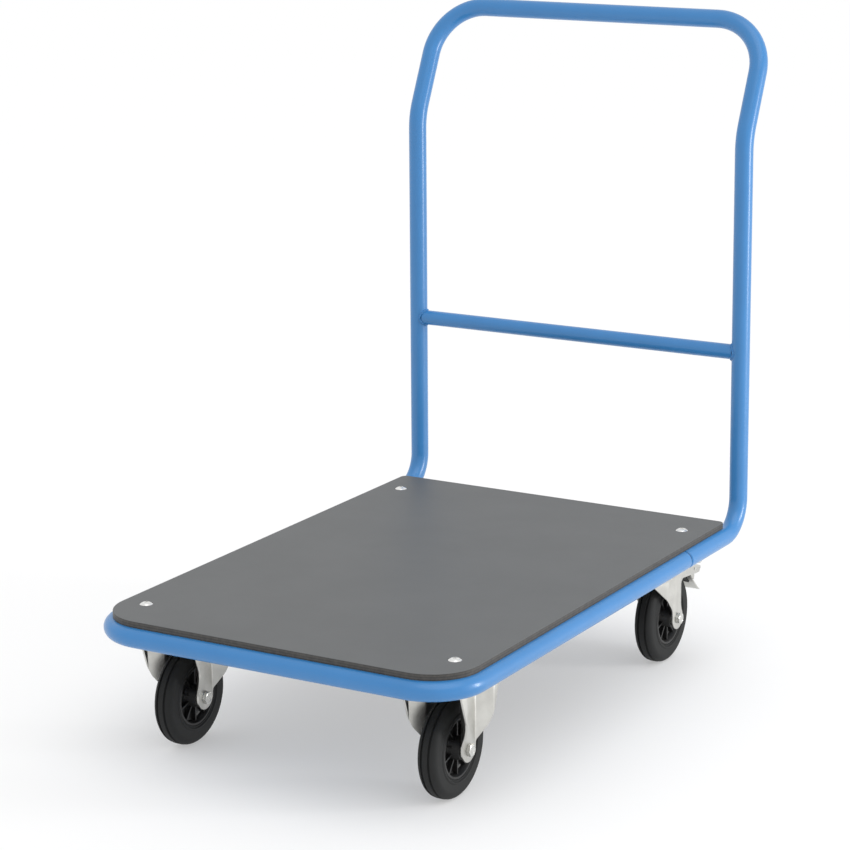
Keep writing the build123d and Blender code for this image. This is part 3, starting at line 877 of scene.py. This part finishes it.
@dataclass
class TubeFrame:
    """Front frame tube, handle tube, crossbar and their welds."""

    tube_r: float = 15 * MM
    bore: float = 13 * MM
    crossbar_r: float = 12.5 * MM
    corner_bend: float = 75 * MM
    foot_bend: float = 55 * MM
    kink_bend: float = 100 * MM
    grip_bend: float = 88 * MM
    kink_height: float = 856 * MM
    end_break: float = 1.5 * MM
    crossbar_bead: float = 2.4 * MM
    member_bead: float = 2.6 * MM
    seam_share: float = 0.93
    sides: int = 48

    def __post_init__(self) -> None:
        """Take the tubes' places from the model."""
        low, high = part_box("front_frame_tube")
        self.side_x = high.x - self.tube_r
        self.front_y = low.y + self.tube_r
        self.frame_z = (low.z + high.z) / 2
        self.front_end = high.y
        low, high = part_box("handle_tube")
        self.handle_start = low.y
        self.grip_y = high.y - self.tube_r
        self.grip_z = high.z - self.tube_r
        bar = centre_of("handle_crossbar")
        self.crossbar_z = bar.z
        self.upright_y = bar.y

    def tube(self, name: str, rings: list[list[Vector]], node: str, open_ended: bool = True) -> None:
        """Make a piece of the frame from a tube's rings."""
        shell = Shell()
        shell.loft(rings, joined=open_ended)
        piece(name, shell.mesh(name), BLUE, Body.FRAME.value, [node])

    def hollow(self, name: str, points: list[Vector], node: str) -> None:
        """A bent tube with open, broken ends.

        Args:
            name: the piece's name.
            points: its rounded centre line.
            node: CAD node that it replaces.
        """
        first = points[0] + (points[1] - points[0]).normalized() * self.end_break
        last = points[-1] + (points[-2] - points[-1]).normalized() * self.end_break
        line = [points[0], first, *points[1:-1], last, points[-1]]
        ends = (0, len(line) - 1)
        outer = along(line, lambda i: self.tube_r - (self.end_break if i in ends else 0.0), self.sides)
        inner = along(line, lambda i: self.bore, self.sides)
        self.tube(name, outer + inner[::-1], node)

    def mirrored(self, half: Sequence[Triple], bends: list[float]) -> list[Vector]:
        """A rounded centre line from the corners and bends of its left half."""
        left = [Vector(c) for c in half]
        right = [Vector((-p.x, p.y, p.z)) for p in reversed(left)]
        return rounded(left + right, bends + bends[::-1])

    def front_line(self) -> list[Vector]:
        """Centre line of the front frame tube."""
        x, z = self.side_x, self.frame_z
        return self.mirrored([(-x, self.front_end, z), (-x, self.front_y, z)], [self.corner_bend])

    def handle_line(self) -> list[Vector]:
        """Centre line of the handle tube."""
        x, y, z = self.side_x, self.upright_y, self.frame_z
        half = [(-x, self.handle_start, z), (-x, y, z), (-x, y, self.kink_height)]
        half.append((-x, self.grip_y, self.grip_z))
        return self.mirrored(half, [self.foot_bend, self.kink_bend, self.grip_bend])

    def tube_face(self, across: float) -> float:
        """Distance from the middle of the cart to a side tube's inner face, off its centre line by across."""
        return self.side_x - math.sqrt(self.tube_r**2 - across**2)

    def saddle(self, side: int) -> list[Vector]:
        """Line where the crossbar meets an upright."""
        out = []
        for i in range(64):
            angle = TURN * i / 64
            across, up = self.crossbar_r * math.cos(angle), self.crossbar_r * math.sin(angle)
            out.append(Vector((side * self.tube_face(across), self.upright_y + across, self.crossbar_z + up)))
        return out

    def member_seams(self) -> list[list[Vector]]:
        """Lines where the cross members' upright faces meet the side tubes."""
        rises = [self.tube_r * self.seam_share * (i / 10 - 1) for i in range(21)]
        out = []
        for member in MEMBERS:
            low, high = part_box(member)
            for side in SIDES.values():
                for y in (low.y, high.y):
                    out.append([Vector((side * self.tube_face(r), y, self.frame_z + r)) for r in rises])
        return out

    def weld(
        self, name: str, recipe: NodeRecipe, lines: Sequence[list[Vector]], closed: bool, bead: float
    ) -> None:
        """Lay beads along some lines as one piece.

        Args:
            name: the piece's name.
            recipe: the weld recipe.
            lines: where the beads run.
            closed: whether each line joins up.
            bead: radius of the beads.
        """
        points: list[Vector] = []
        edges: list[tuple[int, int]] = []
        for line in lines:
            start = len(points)
            points.extend(line)
            edges.extend((start + i, start + i + 1) for i in range(len(line) - 1))
            if closed:
                edges.append((start + len(line) - 1, start))
        mesh = recipe.bake(name, lines_mesh(name + "_line", points, edges), {"Bead": bead})
        piece(name, mesh, BLUE, Body.FRAME.value)

    def build(self) -> None:
        """Make the tubes, lay the welds and dress the members."""
        self.hollow("front_tube", self.front_line(), "front_frame_tube")
        self.hollow("push_handle", self.handle_line(), "handle_tube")
        reach = self.side_x - self.tube_r + 3 * MM
        ends = [Vector((s * reach, self.upright_y, self.crossbar_z)) for s in (-1, 1)]
        self.tube("crossbar", along(ends, lambda i: self.crossbar_r, self.sides), "handle_crossbar", False)
        recipe = weld_recipe(BLUE)
        saddles = [self.saddle(s) for s in SIDES.values()]
        self.weld("crossbar_welds", recipe, saddles, True, self.crossbar_bead)
        self.weld("member_welds", recipe, self.member_seams(), False, self.member_bead)
        # The spigots in the seams take the darker blue, a painted shade of the gap.
        dress("joint_spigots", SEAM_SHADE_BLUE)
        for member in MEMBERS:
            dress(member, BLUE)


@dataclass
class PressedLeg:
    """A leg of bent sheet beside a wheel.

    Its plan is drawn as (out, back) and its outline as (back, up), both from the wheel's middle on the floor.
    """

    plan: Sequence[tuple[float, float]]
    bend: float
    outline: Sequence[tuple[float, float]]
    sheet: float = 3 * MM

    def add_to(self, shell: Shell, middle: Vector, side: int) -> None:
        """Add the leg to a shell.

        Args:
            shell: the shell to add to.
            middle: point on the floor under the wheel's middle.
            side: 1 for the leg on the +X side, -1 for the other.
        """
        corners = [Vector((x, y, 0)) for x, y in self.plan]
        line = rounded(corners, [self.bend] * (len(corners) - 2), step=math.radians(7))
        normals = [Vector((-way.y, way.x, 0)) for way in headings(line)]

        def place(back: float, up: float, face: int) -> Vector:
            """A point of the blank on the bent leg."""
            i = next((k for k in range(len(line) - 2) if line[k + 1].y >= back), len(line) - 2)
            t = (back - line[i].y) / (line[i + 1].y - line[i].y)
            at = line[i].lerp(line[i + 1], t)
            normal = normals[i].lerp(normals[i + 1], min(max(t, 0.0), 1.0)).normalized()
            at = at + normal * (self.sheet * face)
            return middle + Vector((side * at.x, at.y, up))

        low, high = min(p[0] for p in self.outline), max(p[0] for p in self.outline)
        shell.sheet(self.outline, [p.y for p in line if low < p.y < high], place)


def slab_plate(shell: Shell, centre: Vector, size: Pair, thickness: float, corner: float) -> None:
    """Add a flat plate with rounded corners to a shell.

    Args:
        shell: the shell to add to.
        centre: middle of its underside.
        size: its width along X and length along Y.
        thickness: its thickness.
        corner: radius of its corners.
    """
    x, y = size[0] / 2, size[1] / 2
    corners = [Vector((a, b, 0)) for a, b in ((-x, -y), (x, -y), (x, y), (-x, y))]
    outline = [centre + p for p in rounded(corners, [corner] * 4, closed=True)]
    shell.slab(outline, Vector((0, 0, thickness)))


def round_end(radius: float, height: float, start: float, end: float) -> list[Pair]:
    """Arc about the axle from one angle to another, in degrees, as (back, up) points."""
    steps = 24
    angles = [math.radians(start + (end - start) * i / steps) for i in range(steps + 1)]
    return [(radius * math.cos(a), height + radius * math.sin(a)) for a in angles]


def smooth_edge(corners: Sequence[Pair], radii: Sequence[float]) -> list[Pair]:
    """A rounded (back, up) line, from corners in millimetres."""
    line = rounded([Vector((a * MM, b * MM, 0)) for a, b in corners], [r * MM for r in radii])
    return [(p.x, p.y) for p in line]


@dataclass
class CasterPlate:
    """What fixed and swivel casters share: the mounting plate, both legs and their round ends."""

    width: float = 110 * MM
    length: float = 140 * MM
    thickness: float = 4 * MM
    corner: float = 12 * MM
    leg_end: float = 18.5 * MM
    edge: float = 0.7 * MM
    bend: float = 6 * MM
    plan_mm: Sequence[Pair] = ()

    def plate(self, shell: Shell, node: str) -> None:
        """Add the mounting plate at the top of a CAD node."""
        low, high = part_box(node)
        centre = Vector(((low.x + high.x) / 2, (low.y + high.y) / 2, high.z - self.thickness))
        slab_plate(shell, centre, (self.width, self.length), self.thickness, self.corner)

    def legs(self, shell: Shell, axle: Vector, outline: Sequence[Pair]) -> None:
        """Add a leg on each side of the wheel."""
        leg = PressedLeg(in_metres(self.plan_mm), self.bend, outline)
        for way in (-1, 1):
            leg.add_to(shell, Vector((axle.x, axle.y, 0)), way)

    def press(self, shell: Shell, name: str, body: str, node: str, edge: float | None = None) -> None:
        """Turn a shell into a zinc-plated piece with softened edges."""
        piece(name, shell.mesh(name, bevel=edge or self.edge), ZINC, body, [node])


@dataclass
class FixedCaster(CasterPlate):
    """Pressed bracket of a fixed caster."""

    plan_mm: Sequence[Pair] = ((50, -64), (50, -38.5), (30, -18.5), (30, 18.5), (50, 38.5), (50, 64))
    edge_mm: Sequence[Pair] = ((60, 184), (33, 108), (18.5, 84), (18.5, 76))
    edge_bends: Sequence[float] = (30, 14)

    def build(self, side: str) -> None:
        """Make one bracket."""
        axle = centre_of(f"tyre_front_{side}")
        half = smooth_edge(self.edge_mm, self.edge_bends)
        outline = half + round_end(self.leg_end, axle.z, 0, -180) + [(-a, b) for a, b in reversed(half)]
        shell = Shell()
        self.plate(shell, f"fixed_bracket_{side}")
        self.legs(shell, axle, outline)
        self.press(shell, f"bracket_{side}", Body.FRAME.value, f"fixed_bracket_{side}")


@dataclass
class SwivelCaster(CasterPlate):
    """Mounting plate, ball race, trailing fork, brake lever and shoe of a swivel caster."""

    plan_mm: Sequence[Pair] = ((17.5, -95), (30, -36), (30, 92))
    rear_mm: Sequence[Pair] = (
        *((14.5, 87.5), (12, 97), (12, 140), (81.5, 133)),
        *((89, 142.5), (58, 154), (46, 166), (0, 166)),
    )
    rear_bends: Sequence[float] = (20, 9, 3, 3, 15, 2)
    front_mm: Sequence[Pair] = ((-92, 166), (-92, 161), (-40, 116.5), (-18.5, 92), (-18.5, 78))
    front_bends: Sequence[float] = (0.4, 40, 20)
    bend: float = 8 * MM
    crown: Pair = (-104 * MM, -11 * MM)
    crown_width: float = 100 * MM
    crown_corner: float = 20 * MM
    race: Pair = (28 * MM, 44 * MM)
    race_height: float = 4.6 * MM
    race_soft: float = 1.2 * MM
    ball_circle: float = 36 * MM
    groove: Pair = (3 * MM, 1 * MM)
    cheek_x: float = 26 * MM
    cheek_sheet: float = 2 * MM
    cheek_mm: Sequence[Pair] = (
        *((59, 143), (59, 150), (73, 150), (73, 143)),
        *((70.6, 123.4), (67.4, 123.2), (57.8, 132.4)),
    )
    cheek_bends: Sequence[float] = (0, 6.9, 6.9, 0, 1.5, 1.5, 1.5)
    pedal_mm: Sequence[Pair] = ((58.5, 133), (90.5, 102.4), (96.5, 98.9))
    pedal_bend: float = 6 * MM
    lever_edge: float = 0.5 * MM

    def race_ring(self, shell: Shell, centre: Vector, height: float, up: int) -> None:
        """Add a race ring with a ball groove.

        Args:
            shell: the shell to add to.
            centre: middle of its flat side.
            height: its height.
            up: 1 when the groove faces up, -1 when it faces down.
        """
        inner, outer = self.race
        soft, middle = self.race_soft, self.ball_circle
        half, deep = self.groove
        profile = [(inner, 0.0), (outer, 0.0), (outer, height - soft), (outer - soft, height)]
        profile += [(middle + half, height), (middle, height - deep), (middle - half, height)]
        profile += [(inner + soft, height), (inner, height - soft)]
        shell.spin(profile, Matrix.Translation(centre) @ Matrix.Diagonal((1, 1, up, 1)), 64)

    def fork(self, side: str, axle: Vector, king: Vector) -> None:
        """Make the fork with its crown and lower race."""
        crown_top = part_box(f"swivel_fork_{side}")[1].z - self.race_height
        rear = smooth_edge(self.rear_mm, self.rear_bends)
        front = smooth_edge(self.front_mm, self.front_bends)
        shell = Shell()
        self.legs(shell, axle, front + round_end(self.leg_end, axle.z, 180, 398) + rear)
        start, end = self.crown
        centre = Vector((axle.x, axle.y + (start + end) / 2, crown_top - self.thickness))
        slab_plate(shell, centre, (self.crown_width, end - start), self.thickness, self.crown_corner)
        self.race_ring(shell, Vector((king.x, king.y, crown_top)), self.race_height, 1)
        self.press(shell, f"fork_{side}", Body.SWIVEL.on(side), f"swivel_fork_{side}")

    def top(self, side: str, king: Vector) -> None:
        """Make the mounting plate with its upper race."""
        node = f"swivel_plate_{side}"
        low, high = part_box(node)
        shell = Shell()
        self.plate(shell, node)
        under = high.z - self.thickness
        self.race_ring(shell, Vector((king.x, king.y, under)), under - low.z, -1)
        self.press(shell, f"top_plate_{side}", Body.FRAME.value, node)

    def lever(self, side: str, axle: Vector) -> None:
        """Make the brake lever: two cheeks and the pedal between them."""
        shell = Shell()
        corners = [Vector((0, a * MM, b * MM)) for a, b in self.cheek_mm]
        cheek = rounded(corners, [bend * MM for bend in self.cheek_bends], closed=True)
        inner = self.cheek_x - self.cheek_sheet
        for way in (-1, 1):
            start = Vector((axle.x + way * inner, axle.y, 0))
            shell.slab([start + p for p in cheek], Vector((way * self.cheek_sheet, 0, 0)))
        line = rounded([Vector((0, a * MM, b * MM)) for a, b in self.pedal_mm], [self.pedal_bend])
        rises = [Vector((0, -way.z, way.y)) * (self.cheek_sheet / 2) for way in headings(line)]
        section = [p + rise for p, rise in zip(line, rises)]
        section += [p - rise for p, rise in zip(line[::-1], rises[::-1])]
        middle = Vector((axle.x, axle.y, 0))
        shell.loft([[middle + p + Vector((x, 0, 0)) for p in section] for x in (-inner, inner)])
        self.press(shell, f"lever_{side}", Body.BRAKE.on(side), f"brake_lever_{side}", self.lever_edge)

    def build(self, side: str) -> None:
        """Make one swivel caster."""
        axle = centre_of(f"tyre_rear_{side}")
        king = centre_of(f"race_balls_{side}")
        self.fork(side, axle, king)
        self.top(side, king)
        self.lever(side, axle)
        dress(f"race_balls_{side}", STEEL)
        dress(f"brake_pin_{side}", BOLT_ZINC)
        dress(f"brake_shoe_{side}", SHOE_RUBBER)


@dataclass
class Wheel:
    """Moulded rim, solid tyre and the bearing of one wheel; its sizes are in millimetres."""

    radius: float = 76
    hub_half: float = 22
    bore: float = 11.5
    hub_r: float = 19
    web_half: float = 4
    seat: float = 46
    lip: float = 8
    rim_half: float = 15
    tyre_half: float = 16
    shoulder: float = 12
    ring_r: float = 51
    ring_high: float = 1
    groove_x: float = 6
    groove_half: float = 1.5
    groove_depth: float = 3
    groove_shape: Sequence[Pair] = ((1.35, 0.0), (1.1, 0.15), (0.9, 0.75), (0.5, 1.0))
    soft: float = 0.8
    ribs: int = 10
    rib: Triple = (25, 2.4, 22)

    def tread(self, out: float) -> float:
        """Radius of the tread, without its grooves, at a distance from the middle."""
        past = max(0.0, out - (self.tyre_half - self.shoulder))
        return self.radius - self.shoulder + math.sqrt(self.shoulder**2 - past**2)

    def tyre_profile(self) -> list[Pair]:
        """Outer half of the tyre's (radius, out) section."""
        ring, wall, high = self.ring_r, self.tyre_half, self.ring_high
        half = [(self.seat, self.rim_half - 1), (self.seat + 0.6, self.rim_half)]
        half += [(ring - 2.4, self.rim_half + 0.1), (ring - 1, wall + high * 0.75)]
        half += [(ring, wall + high), (ring + 1, wall + high * 0.6)]
        half += [(ring + 2.2, wall - 0.1), (ring + 3.4, wall)]
        for i in range(15):
            angle = math.pi / 2 * i / 14
            out = wall - self.shoulder * (1 - math.cos(angle))
            if out > self.groove_x + self.groove_half + 0.4:
                half.append((self.radius - self.shoulder * (1 - math.sin(angle)), out))
        far = [(-share, drop) for share, drop in reversed(self.groove_shape)]
        for share, drop in (*self.groove_shape, *far):
            out = self.groove_x + self.groove_half * share
            half.append((self.tread(out) - self.groove_depth * drop, out))
        return half + [(self.tread(4), 4), (self.radius, 1)]

    def rim_profile(self) -> list[Pair]:
        """Outer half of the rim's (radius, out) section."""
        soft, hub, web, rim = self.soft, self.hub_r, self.web_half, self.rim_half
        rise, flange = self.seat - self.lip, self.seat - self.lip / 2
        half = [(self.bore, self.hub_half - soft), (self.bore + soft, self.hub_half)]
        half += [(hub - 3 - soft, self.hub_half), (hub - 3, self.hub_half - soft), (hub - 0.4, web + 3)]
        half += [(hub + 1, web + 0.6), (hub + 3, web), (rise - 2, web), (rise + 0.4, web + 1.2)]
        half += [(flange - 0.6, rim - 1), (flange + 0.2, rim)]
        return half + [(self.seat - soft, rim), (self.seat, rim - soft)]

    def turned(self, name: str, half: list[Pair], axle: Vector, sides: int) -> bpy.types.Mesh:
        """Turn a section about the axle.

        Args:
            name: name of the mesh.
            half: outer half of the section, mirrored to the inner side.
            axle: middle of the wheel.
            sides: steps round the axle.

        Returns:
            The turned mesh.
        """
        across = Matrix.Translation(axle) @ Matrix.Rotation(math.pi / 2, 4, "Y")
        shell = Shell()
        shell.spin(in_metres(half + [(r, -x) for r, x in reversed(half)]), across, sides)
        return shell.mesh(name)

    def build(self, place: str, spokes: NodeRecipe) -> None:
        """Make one wheel.

        Args:
            place: where it sits, such as front_left.
            spokes: recipe for the rim's ribs.
        """
        axle = centre_of(f"tyre_{place}")
        body = f"wheel_{place}"
        tyre = self.turned(f"rubber_tyre_{place}", self.tyre_profile(), axle, 144)
        piece(f"rubber_tyre_{place}", tyre, TYRE_RUBBER, body, [f"tyre_{place}"])
        rim = self.turned(f"rim_base_{place}", self.rim_profile(), axle, 96)
        values = {"Centre": axle, "Ribs": self.ribs, "Rib size": Vector(self.rib) * MM}
        mesh = spokes.bake(f"nylon_rim_{place}", rim, values)
        piece(f"nylon_rim_{place}", mesh, NYLON, body, [f"wheel_rim_{place}"])
        dress(f"roller_bearing_{place}", STEEL)


class Facing(Enum):
    """Turns that take a fastener's head from +Z to another way, in radians."""

    UP = (0.0, 0.0, 0.0)
    DOWN = (math.pi, 0.0, 0.0)
    RIGHT = (0.0, math.pi / 2, 0.0)
    LEFT = (0.0, -math.pi / 2, 0.0)


@dataclass
class Fasteners:
    """Every bolt, nut and washer of the cart."""

    pitch_x: float = 75 * MM
    pitch_y: float = 105 * MM
    plate: float = 4 * MM
    washer: Washer = Washer(8 * MM, 4.2 * MM, 1.6 * MM)
    caster_bolt: HexBolt = HexBolt(13 * MM, 5.3 * MM, 4 * MM, 17 * MM)
    deck_nut: LockNut = LockNut(13 * MM, 8 * MM, 4.05 * MM)
    axle_bolt: HexBolt = HexBolt(17 * MM, 6.4 * MM, 5 * MM, 71 * MM)
    axle_nut: LockNut = LockNut(17 * MM, 9 * MM, 5.05 * MM)
    leg_x: float = 30 * MM
    seat_depth: float = 0.5 * MM

    def __post_init__(self) -> None:
        """Make the recipe that all of them share."""
        self.recipe = fastener_recipe(BOLT_ZINC)
        self.plate_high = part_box("swivel_plate_left")[1].z
        low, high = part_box("king_bolts")
        self.king_bolt = HexBolt(19 * MM, high.z - self.plate_high, 6 * MM, self.plate_high - low.z)

    def place(
        self,
        name: str,
        shape: Fastener,
        points: Sequence[Vector],
        facing: Facing,
        node: str,
        seed: int,
        body: str = Body.FRAME.value,
        finish: Finish = BOLT_ZINC,
    ) -> None:
        """Put one kind of fastener on every point and bake it.

        Args:
            name: the piece's name.
            shape: the fastener.
            points: where each seat is.
            facing: which way the heads look.
            node: CAD node that it replaces.
            seed: seed of the turn about its own axis.
            body: the body it rides on.
            finish: what it is dressed in.
        """
        model = put(name + "_shape", shape.mesh(name + "_shape"))
        values = {"Fastener": model, "Facing": facing.value, "Seed": seed}
        mesh = self.recipe.bake(name, lines_mesh("places", points), values)
        bpy.data.objects.remove(model)
        piece(name, mesh, finish, body, [node])

    def pattern(self) -> tuple[list[Vector], list[Vector]]:
        """Hole centres under the caster plates: those of the deck bolts, and the others."""
        deck: list[Vector] = []
        other: list[Vector] = []
        for side, s in SIDES.items():
            for node, outer in ((f"fixed_bracket_{side}", -1), (f"swivel_plate_{side}", 1)):
                low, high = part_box(node)
                for dx, dy in ((-1, -1), (-1, 1), (1, -1), (1, 1)):
                    x = (low.x + high.x + dx * self.pitch_x) / 2
                    y = (low.y + high.y + dy * self.pitch_y) / 2
                    is_deck = dx == s and dy == outer
                    (deck if is_deck else other).append(Vector((x, y, self.plate_high - self.plate)))
        return deck, other

    def deck_and_plates(self) -> None:
        """Place what holds the deck and the caster plates."""
        deck, other = self.pattern()
        below = Vector((0, 0, self.washer.thickness))
        low_deck, low_other = ([p - below for p in holes] for holes in (deck, other))
        self.place("plate_washer_set", self.washer, low_deck + low_other, Facing.DOWN, "plate_washers", 4)
        self.place("caster_bolt_set", self.caster_bolt, low_other, Facing.DOWN, "caster_bolts", 7)
        self.place("deck_nut_set", self.deck_nut, low_deck, Facing.DOWN, "deck_bolt_nuts", 9)
        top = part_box("deck_board")[1].z - self.seat_depth
        seats = [Vector((p.x, p.y, top)) for p in deck]
        # The domes take the paler zinc, a painted highlight.
        self.place("deck_bolt_set", MushroomBolt(), seats, Facing.UP, "deck_bolts", 3, finish=LIT_DOME_ZINC)

    def joints(self) -> None:
        """Place the screws of the spigots and the king bolts."""
        screw = PanScrew()
        low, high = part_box("spigot_screws")
        xs = (low.x + screw.head_r, high.x - screw.head_r)
        ys = (low.y + screw.head_r, high.y - screw.head_r)
        seats = [Vector((x, y, low.z + screw.head)) for x in xs for y in ys]
        self.place("joint_screw_set", screw, seats, Facing.DOWN, "spigot_screws", 5)
        kings = [centre_of(f"race_balls_{side}") for side in SIDES]
        kings = [Vector((p.x, p.y, self.plate_high)) for p in kings]
        self.place("king_bolt_set", self.king_bolt, kings, Facing.UP, "king_bolts", 2)

    def axles(self) -> None:
        """Place the bolt and nut of every axle, and dress its sleeve and rings."""
        out = Vector((self.leg_x, 0, 0))
        fronts = [centre_of(f"tyre_front_{side}") for side in SIDES]
        rights, lefts = [p + out for p in fronts], [p - out for p in fronts]
        self.place("front_axle_bolt_set", self.axle_bolt, rights, Facing.RIGHT, "fixed_axle_bolts", 6)
        self.place("front_axle_nut_set", self.axle_nut, lefts, Facing.LEFT, "fixed_axle_nuts", 8)
        for side in SIDES:
            rear = centre_of(f"tyre_rear_{side}")
            for part, shape, seat, facing, seed in (
                ("bolt", self.axle_bolt, rear + out, Facing.RIGHT, 11),
                ("nut", self.axle_nut, rear - out, Facing.LEFT, 12),
            ):
                name, node = f"rear_axle_{part}_{side}", f"swivel_axle_{part}_{side}"
                self.place(name, shape, [seat], facing, node, seed, Body.SWIVEL.on(side))
            dress(f"swivel_axle_sleeve_{side}", STEEL)
            dress(f"swivel_spacer_rings_{side}", BOLT_ZINC)

    def build(self) -> None:
        """Place them all and dress the small parts that stay as they are."""
        self.deck_and_plates()
        self.joints()
        self.axles()
        for node in ("king_nuts", "rivet_nuts", "fixed_spacer_rings"):
            dress(node, BOLT_ZINC)
        dress("fixed_axle_sleeves", STEEL)


@dataclass(frozen=True)
class Lamp:
    """A lamp of the studio.

    The size is a sun's angle in degrees, twice over, or an area lamp's width and height in metres.
    """

    name: str
    kind: str
    energy: float
    size: Pair
    place: Triple
    aim: Triple

    def build(self) -> None:
        """Set it up."""
        data = bpy.data.lights.new(self.name, self.kind)
        data.energy = self.energy
        if self.kind == "SUN":
            data.angle = math.radians(self.size[0])
        else:
            data.shape = "RECTANGLE"
            data.size, data.size_y = self.size
        made = put(self.name, data)
        made.location = self.place
        made.rotation_mode = "QUATERNION"
        made.rotation_quaternion = (Vector(self.aim) - Vector(self.place)).to_track_quat("-Z", "Y")


@dataclass
class Studio:
    """Floor, light and camera."""

    floor_half: float = 40.0
    sky: float = 0.86
    lamps: Sequence[Lamp] = (
        Lamp("key", "SUN", 0.75, (60, 60), (1.5, -1.0, 4.0), (0, 0, 0)),
        Lamp("side", "AREA", 48, (0.5, 1.4), (3.3, 1.2, 0.75), (0.2, 0, 0.6)),
    )
    camera_place: Triple = (2.1333, -3.7130, 1.5063)
    yaw: float = 30.325
    pitch: float = 11.92
    roll: float = -0.381
    lens: float = 119.1
    lens_shift: float = -0.12
    sensor: float = 36.0
    clip_end: float = 200.0

    def floor(self) -> None:
        """A wide level floor."""
        f = self.floor_half
        mesh = bpy.data.meshes.new("studio_floor")
        mesh.from_pydata([(-f, -f, 0), (f, -f, 0), (f, f, 0), (-f, f, 0)], [], [(0, 1, 2, 3)])
        mesh.materials.append(BACKDROP.material())
        put("studio_floor", mesh)

    def camera(self) -> None:
        """A long lens from above the front right-hand corner."""
        data = bpy.data.cameras.new("camera")
        data.lens = self.lens
        data.sensor_width = self.sensor
        data.shift_y = self.lens_shift
        data.clip_end = self.clip_end
        turns = ((self.yaw, "Z"), (90 - self.pitch, "X"), (self.roll, "Z"))
        turn, tilt, roll = (Matrix.Rotation(math.radians(angle), 4, axis) for angle, axis in turns)
        made = put("camera", data)
        made.matrix_world = Matrix.Translation(self.camera_place) @ turn @ tilt @ roll
        bpy.context.scene.camera = made

    def build(self) -> None:
        """Set everything up."""
        scene = bpy.context.scene
        scene.view_settings.view_transform = "Standard"
        scene.world = bpy.data.worlds.new("studio")
        scene.world.use_nodes = True
        background = scene.world.node_tree.nodes["Background"]
        background.inputs["Color"].default_value = (1, 1, 1, 1)
        background.inputs["Strength"].default_value = self.sky
        self.floor()
        for lamp in self.lamps:
            lamp.build()
        self.camera()


def build_cart() -> None:
    """Make the whole cart."""
    TubeFrame().build()
    dress("deck_board", BOARD)
    spokes = spoke_recipe(NYLON)
    for side in SIDES:
        FixedCaster().build(side)
        SwivelCaster().build(side)
        for end in ENDS:
            Wheel().build(f"{end}_{side}", spokes)
    Fasteners().build()


def main() -> None:
    """Build the cart and its studio."""
    logging.basicConfig(level=logging.INFO, format="%(message)s")
    build_cart()
    Studio().build()


if __name__ == "__main__":
    main()
